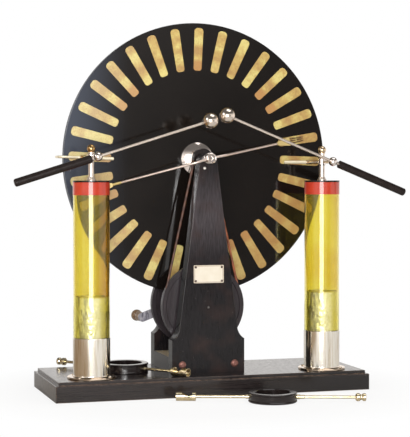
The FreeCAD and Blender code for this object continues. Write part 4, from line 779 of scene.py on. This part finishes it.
glass = node(tree, "BsdfPrincipled", Base_Color=tint.outputs[2], Roughness=0.03, IOR=1.5,
             Transmission_Weight=0.95)
node(tree, "OutputMaterial", Surface=glass.outputs[0])
dress(amber, "jar_glasses")

# The varnish is brushed on thick over the glass: opaque red, glossy, a shade darker where it laps.
red_varnish = mottled_finish("red_varnish_on_glass", ("#c23f28", "#a83222"), patch_mm=7.0,
                             noise={"Detail": 3.0}, Roughness=0.08, IOR=1.52)
dress(red_varnish, "jar_red_bands")

# ---------------------------------------------------------------- jar foils
# Tin foil pasted round the inside of each glass, crinkled as it was smoothed down by hand. A broken
# highlight is painted pale down its middle, and a dark reflection is painted in streaks down its left
# side.
FOLD_MM = 3.0
FOLD_DEPTH = 0.0004
LAP_AT_Z = 0.107
DARK_STREAK_LONG_MM = 16.0
DARK_STREAK_WIDE_MM = 4.0
DARK_STREAK_FROM = -0.005
DARK_STREAK_FULL = -0.015
DARK_STREAK_STRENGTH = 0.8
HIGHLIGHT_PATCH_MM = 4.0
HIGHLIGHT_FROM = 0.010
HIGHLIGHT_FULL = 0.003
HIGHLIGHT_METALLIC = 0.25
low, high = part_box("jar_foils")
jars_mid = (low[0] + high[0]) / 2
jars_apart = (high[0] - low[0]) / 2 - JAR_RADIUS
tin, tree = start_finish("crinkled_tin_foil")
here = node(tree, "TexCoord").outputs["Object"]
spot = node(tree, "SeparateXYZ", i0=here)
crease = node(tree, "TexVoronoi", {"feature": "F1"}, Vector=here, Scale=1000 / FOLD_MM)
fold = node(tree, "Bump", Strength=0.5, Distance=FOLD_DEPTH, Height=crease.outputs["Distance"])
lapped = node(tree, "Math", {"operation": "GREATER_THAN"}, i0=spot.outputs["Z"], i1=LAP_AT_Z)
skin = node(tree, "Mix", COLOURS, i0=lapped.outputs[0], i6=colour("#e6e2aa"), i7=colour("#ece89c"))
variant = node(tree, "MapRange", Value=lapped.outputs[0], To_Min=0.95, To_Max=0.15)

# How far to the right of its own jar's middle a spot lies.
off_middle = node(tree, "Math", {"operation": "ADD"}, i0=spot.outputs["X"], i1=-jars_mid)
off_middle = node(tree, "Math", {"operation": "ABSOLUTE"}, i0=off_middle.outputs[0])
off_middle = node(tree, "Math", {"operation": "SUBTRACT"}, i0=off_middle.outputs[0], i1=jars_apart)
which_jar = node(tree, "Math", {"operation": "SIGN"}, i0=spot.outputs["X"])
rightward = node(tree, "Math", TIMES, i0=off_middle.outputs[0], i1=which_jar.outputs[0])

# Painted reflection: dark streaks down the left side of each foil.
on_left = node(tree, "MapRange", Value=rightward.outputs[0], From_Min=DARK_STREAK_FROM, From_Max=DARK_STREAK_FULL)
painted_dark_streaks = drawn_out(tree, here, "Z", DARK_STREAK_LONG_MM, DARK_STREAK_WIDE_MM, Detail=4.0, Roughness=0.6)
painted_dark_streaks = node(tree, "MapRange", Value=painted_dark_streaks, From_Min=0.36, From_Max=0.56)
painted_dark_streaks = node(tree, "Math", TIMES, i0=painted_dark_streaks.outputs[0], i1=on_left.outputs[0])
painted_dark_streaks = node(tree, "Math", TIMES, i0=painted_dark_streaks.outputs[0], i1=DARK_STREAK_STRENGTH)
skin = node(tree, "Mix", COLOURS, i0=painted_dark_streaks.outputs[0], i6=skin.outputs[2], i7=colour("#6e6238"))
# Painted highlight: pale and less metallic down the middle of each foil.
aside = node(tree, "Math", {"operation": "ABSOLUTE"}, i0=rightward.outputs[0])
wear_and_highlight = node(tree, "MapRange", EASED, Value=aside.outputs[0], From_Min=HIGHLIGHT_FROM,
              From_Max=HIGHLIGHT_FULL)
patch = node(tree, "TexNoise", Vector=here, Scale=1000 / HIGHLIGHT_PATCH_MM, Detail=4.0, Roughness=0.7)
patch = node(tree, "MapRange", Value=patch.outputs["Fac"], From_Min=0.32, From_Max=0.5)
wear_and_highlight = node(tree, "Math", TIMES, i0=wear_and_highlight.outputs[0], i1=patch.outputs[0])
skin = node(tree, "Mix", COLOURS, i0=wear_and_highlight.outputs[0], i6=skin.outputs[2], i7=colour("#fffdf4"))
variant = node(tree, "Mix", i0=wear_and_highlight.outputs[0], i2=variant.outputs[0], i3=HIGHLIGHT_METALLIC)
metal = node(tree, "BsdfPrincipled", Base_Color=skin.outputs[2], Metallic=variant.outputs[0], Roughness=0.3,
             Normal=fold.outputs[0])
node(tree, "OutputMaterial", Surface=metal.outputs[0])

# Each lining is an open tube, cut into rings so that the creases can push it in, then thickened.
FOIL_SIDES = 96
FOIL_CUTS = 60
FOIL_CREASE_MM = 5.0
FOIL_DEPTH = 0.0008
FOIL_CLEAR = 0.00025
FOIL_THICK = 0.0001
SHORTEST_RIB = 0.01
creases = bpy.data.textures.new("foil_creases", "VORONOI")
creases.noise_scale = FOIL_CREASE_MM / 1000
foil_radius = (high[1] - low[1]) / 2
foil_mid_y = (low[1] + high[1]) / 2
foil_mid_z = (low[2] + high[2]) / 2
for side, x in (("left", low[0] + foil_radius), ("right", high[0] - foil_radius)):
    bpy.ops.object.select_all(action="DESELECT")
    bpy.ops.mesh.primitive_cylinder_add(vertices=FOIL_SIDES, radius=foil_radius - FOIL_CLEAR,
                                        depth=high[2] - low[2], end_fill_type="NOTHING",
                                        location=(x, foil_mid_y, foil_mid_z))
    lining = bpy.context.object
    lining.name = side + "_jar_foil"
    bpy.ops.object.transform_apply(location=True, rotation=False, scale=False)
    bpy.ops.object.mode_set(mode="EDIT")
    bpy.ops.mesh.select_all(action="DESELECT")
    shell = bmesh.from_edit_mesh(lining.data)
    for rib in shell.edges:
        rib.select = abs(rib.verts[0].co.z - rib.verts[1].co.z) > SHORTEST_RIB
    bmesh.update_edit_mesh(lining.data)
    bpy.ops.mesh.subdivide(number_cuts=FOIL_CUTS)
    bpy.ops.object.mode_set(mode="OBJECT")
    crinkle = lining.modifiers.new("crinkle", "DISPLACE")
    crinkle.texture = creases
    crinkle.texture_coords = "LOCAL"
    crinkle.mid_level = 0.0
    crinkle.strength = -FOIL_DEPTH
    wall = lining.modifiers.new("wall", "SOLIDIFY")
    wall.thickness = FOIL_THICK
    wall.offset = -1
    for step in ("crinkle", "wall"):
        bpy.ops.object.modifier_apply(modifier=step)
    lining.data.materials.append(tin)
    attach(lining, "stand")
    if side == "left":
        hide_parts("jar_foils")

# ---------------------------------------------------------------- loose ring rods
# Brass rods set in the loose rings, one with a turned knob and one with a tube whose end is
# notched to hook on. They were lacquered, and have dulled to a pale, soft shine.
dull_brass = mottled_finish("dulled_brass_rods", ("#e4d8bb", "#b6a37e"), patch_mm=4.0,
                            noise={"Detail": 4.0}, Metallic=1.0, Roughness=0.26)
dress(dull_brass, "front_gap_rods", "rear_gap_rods")
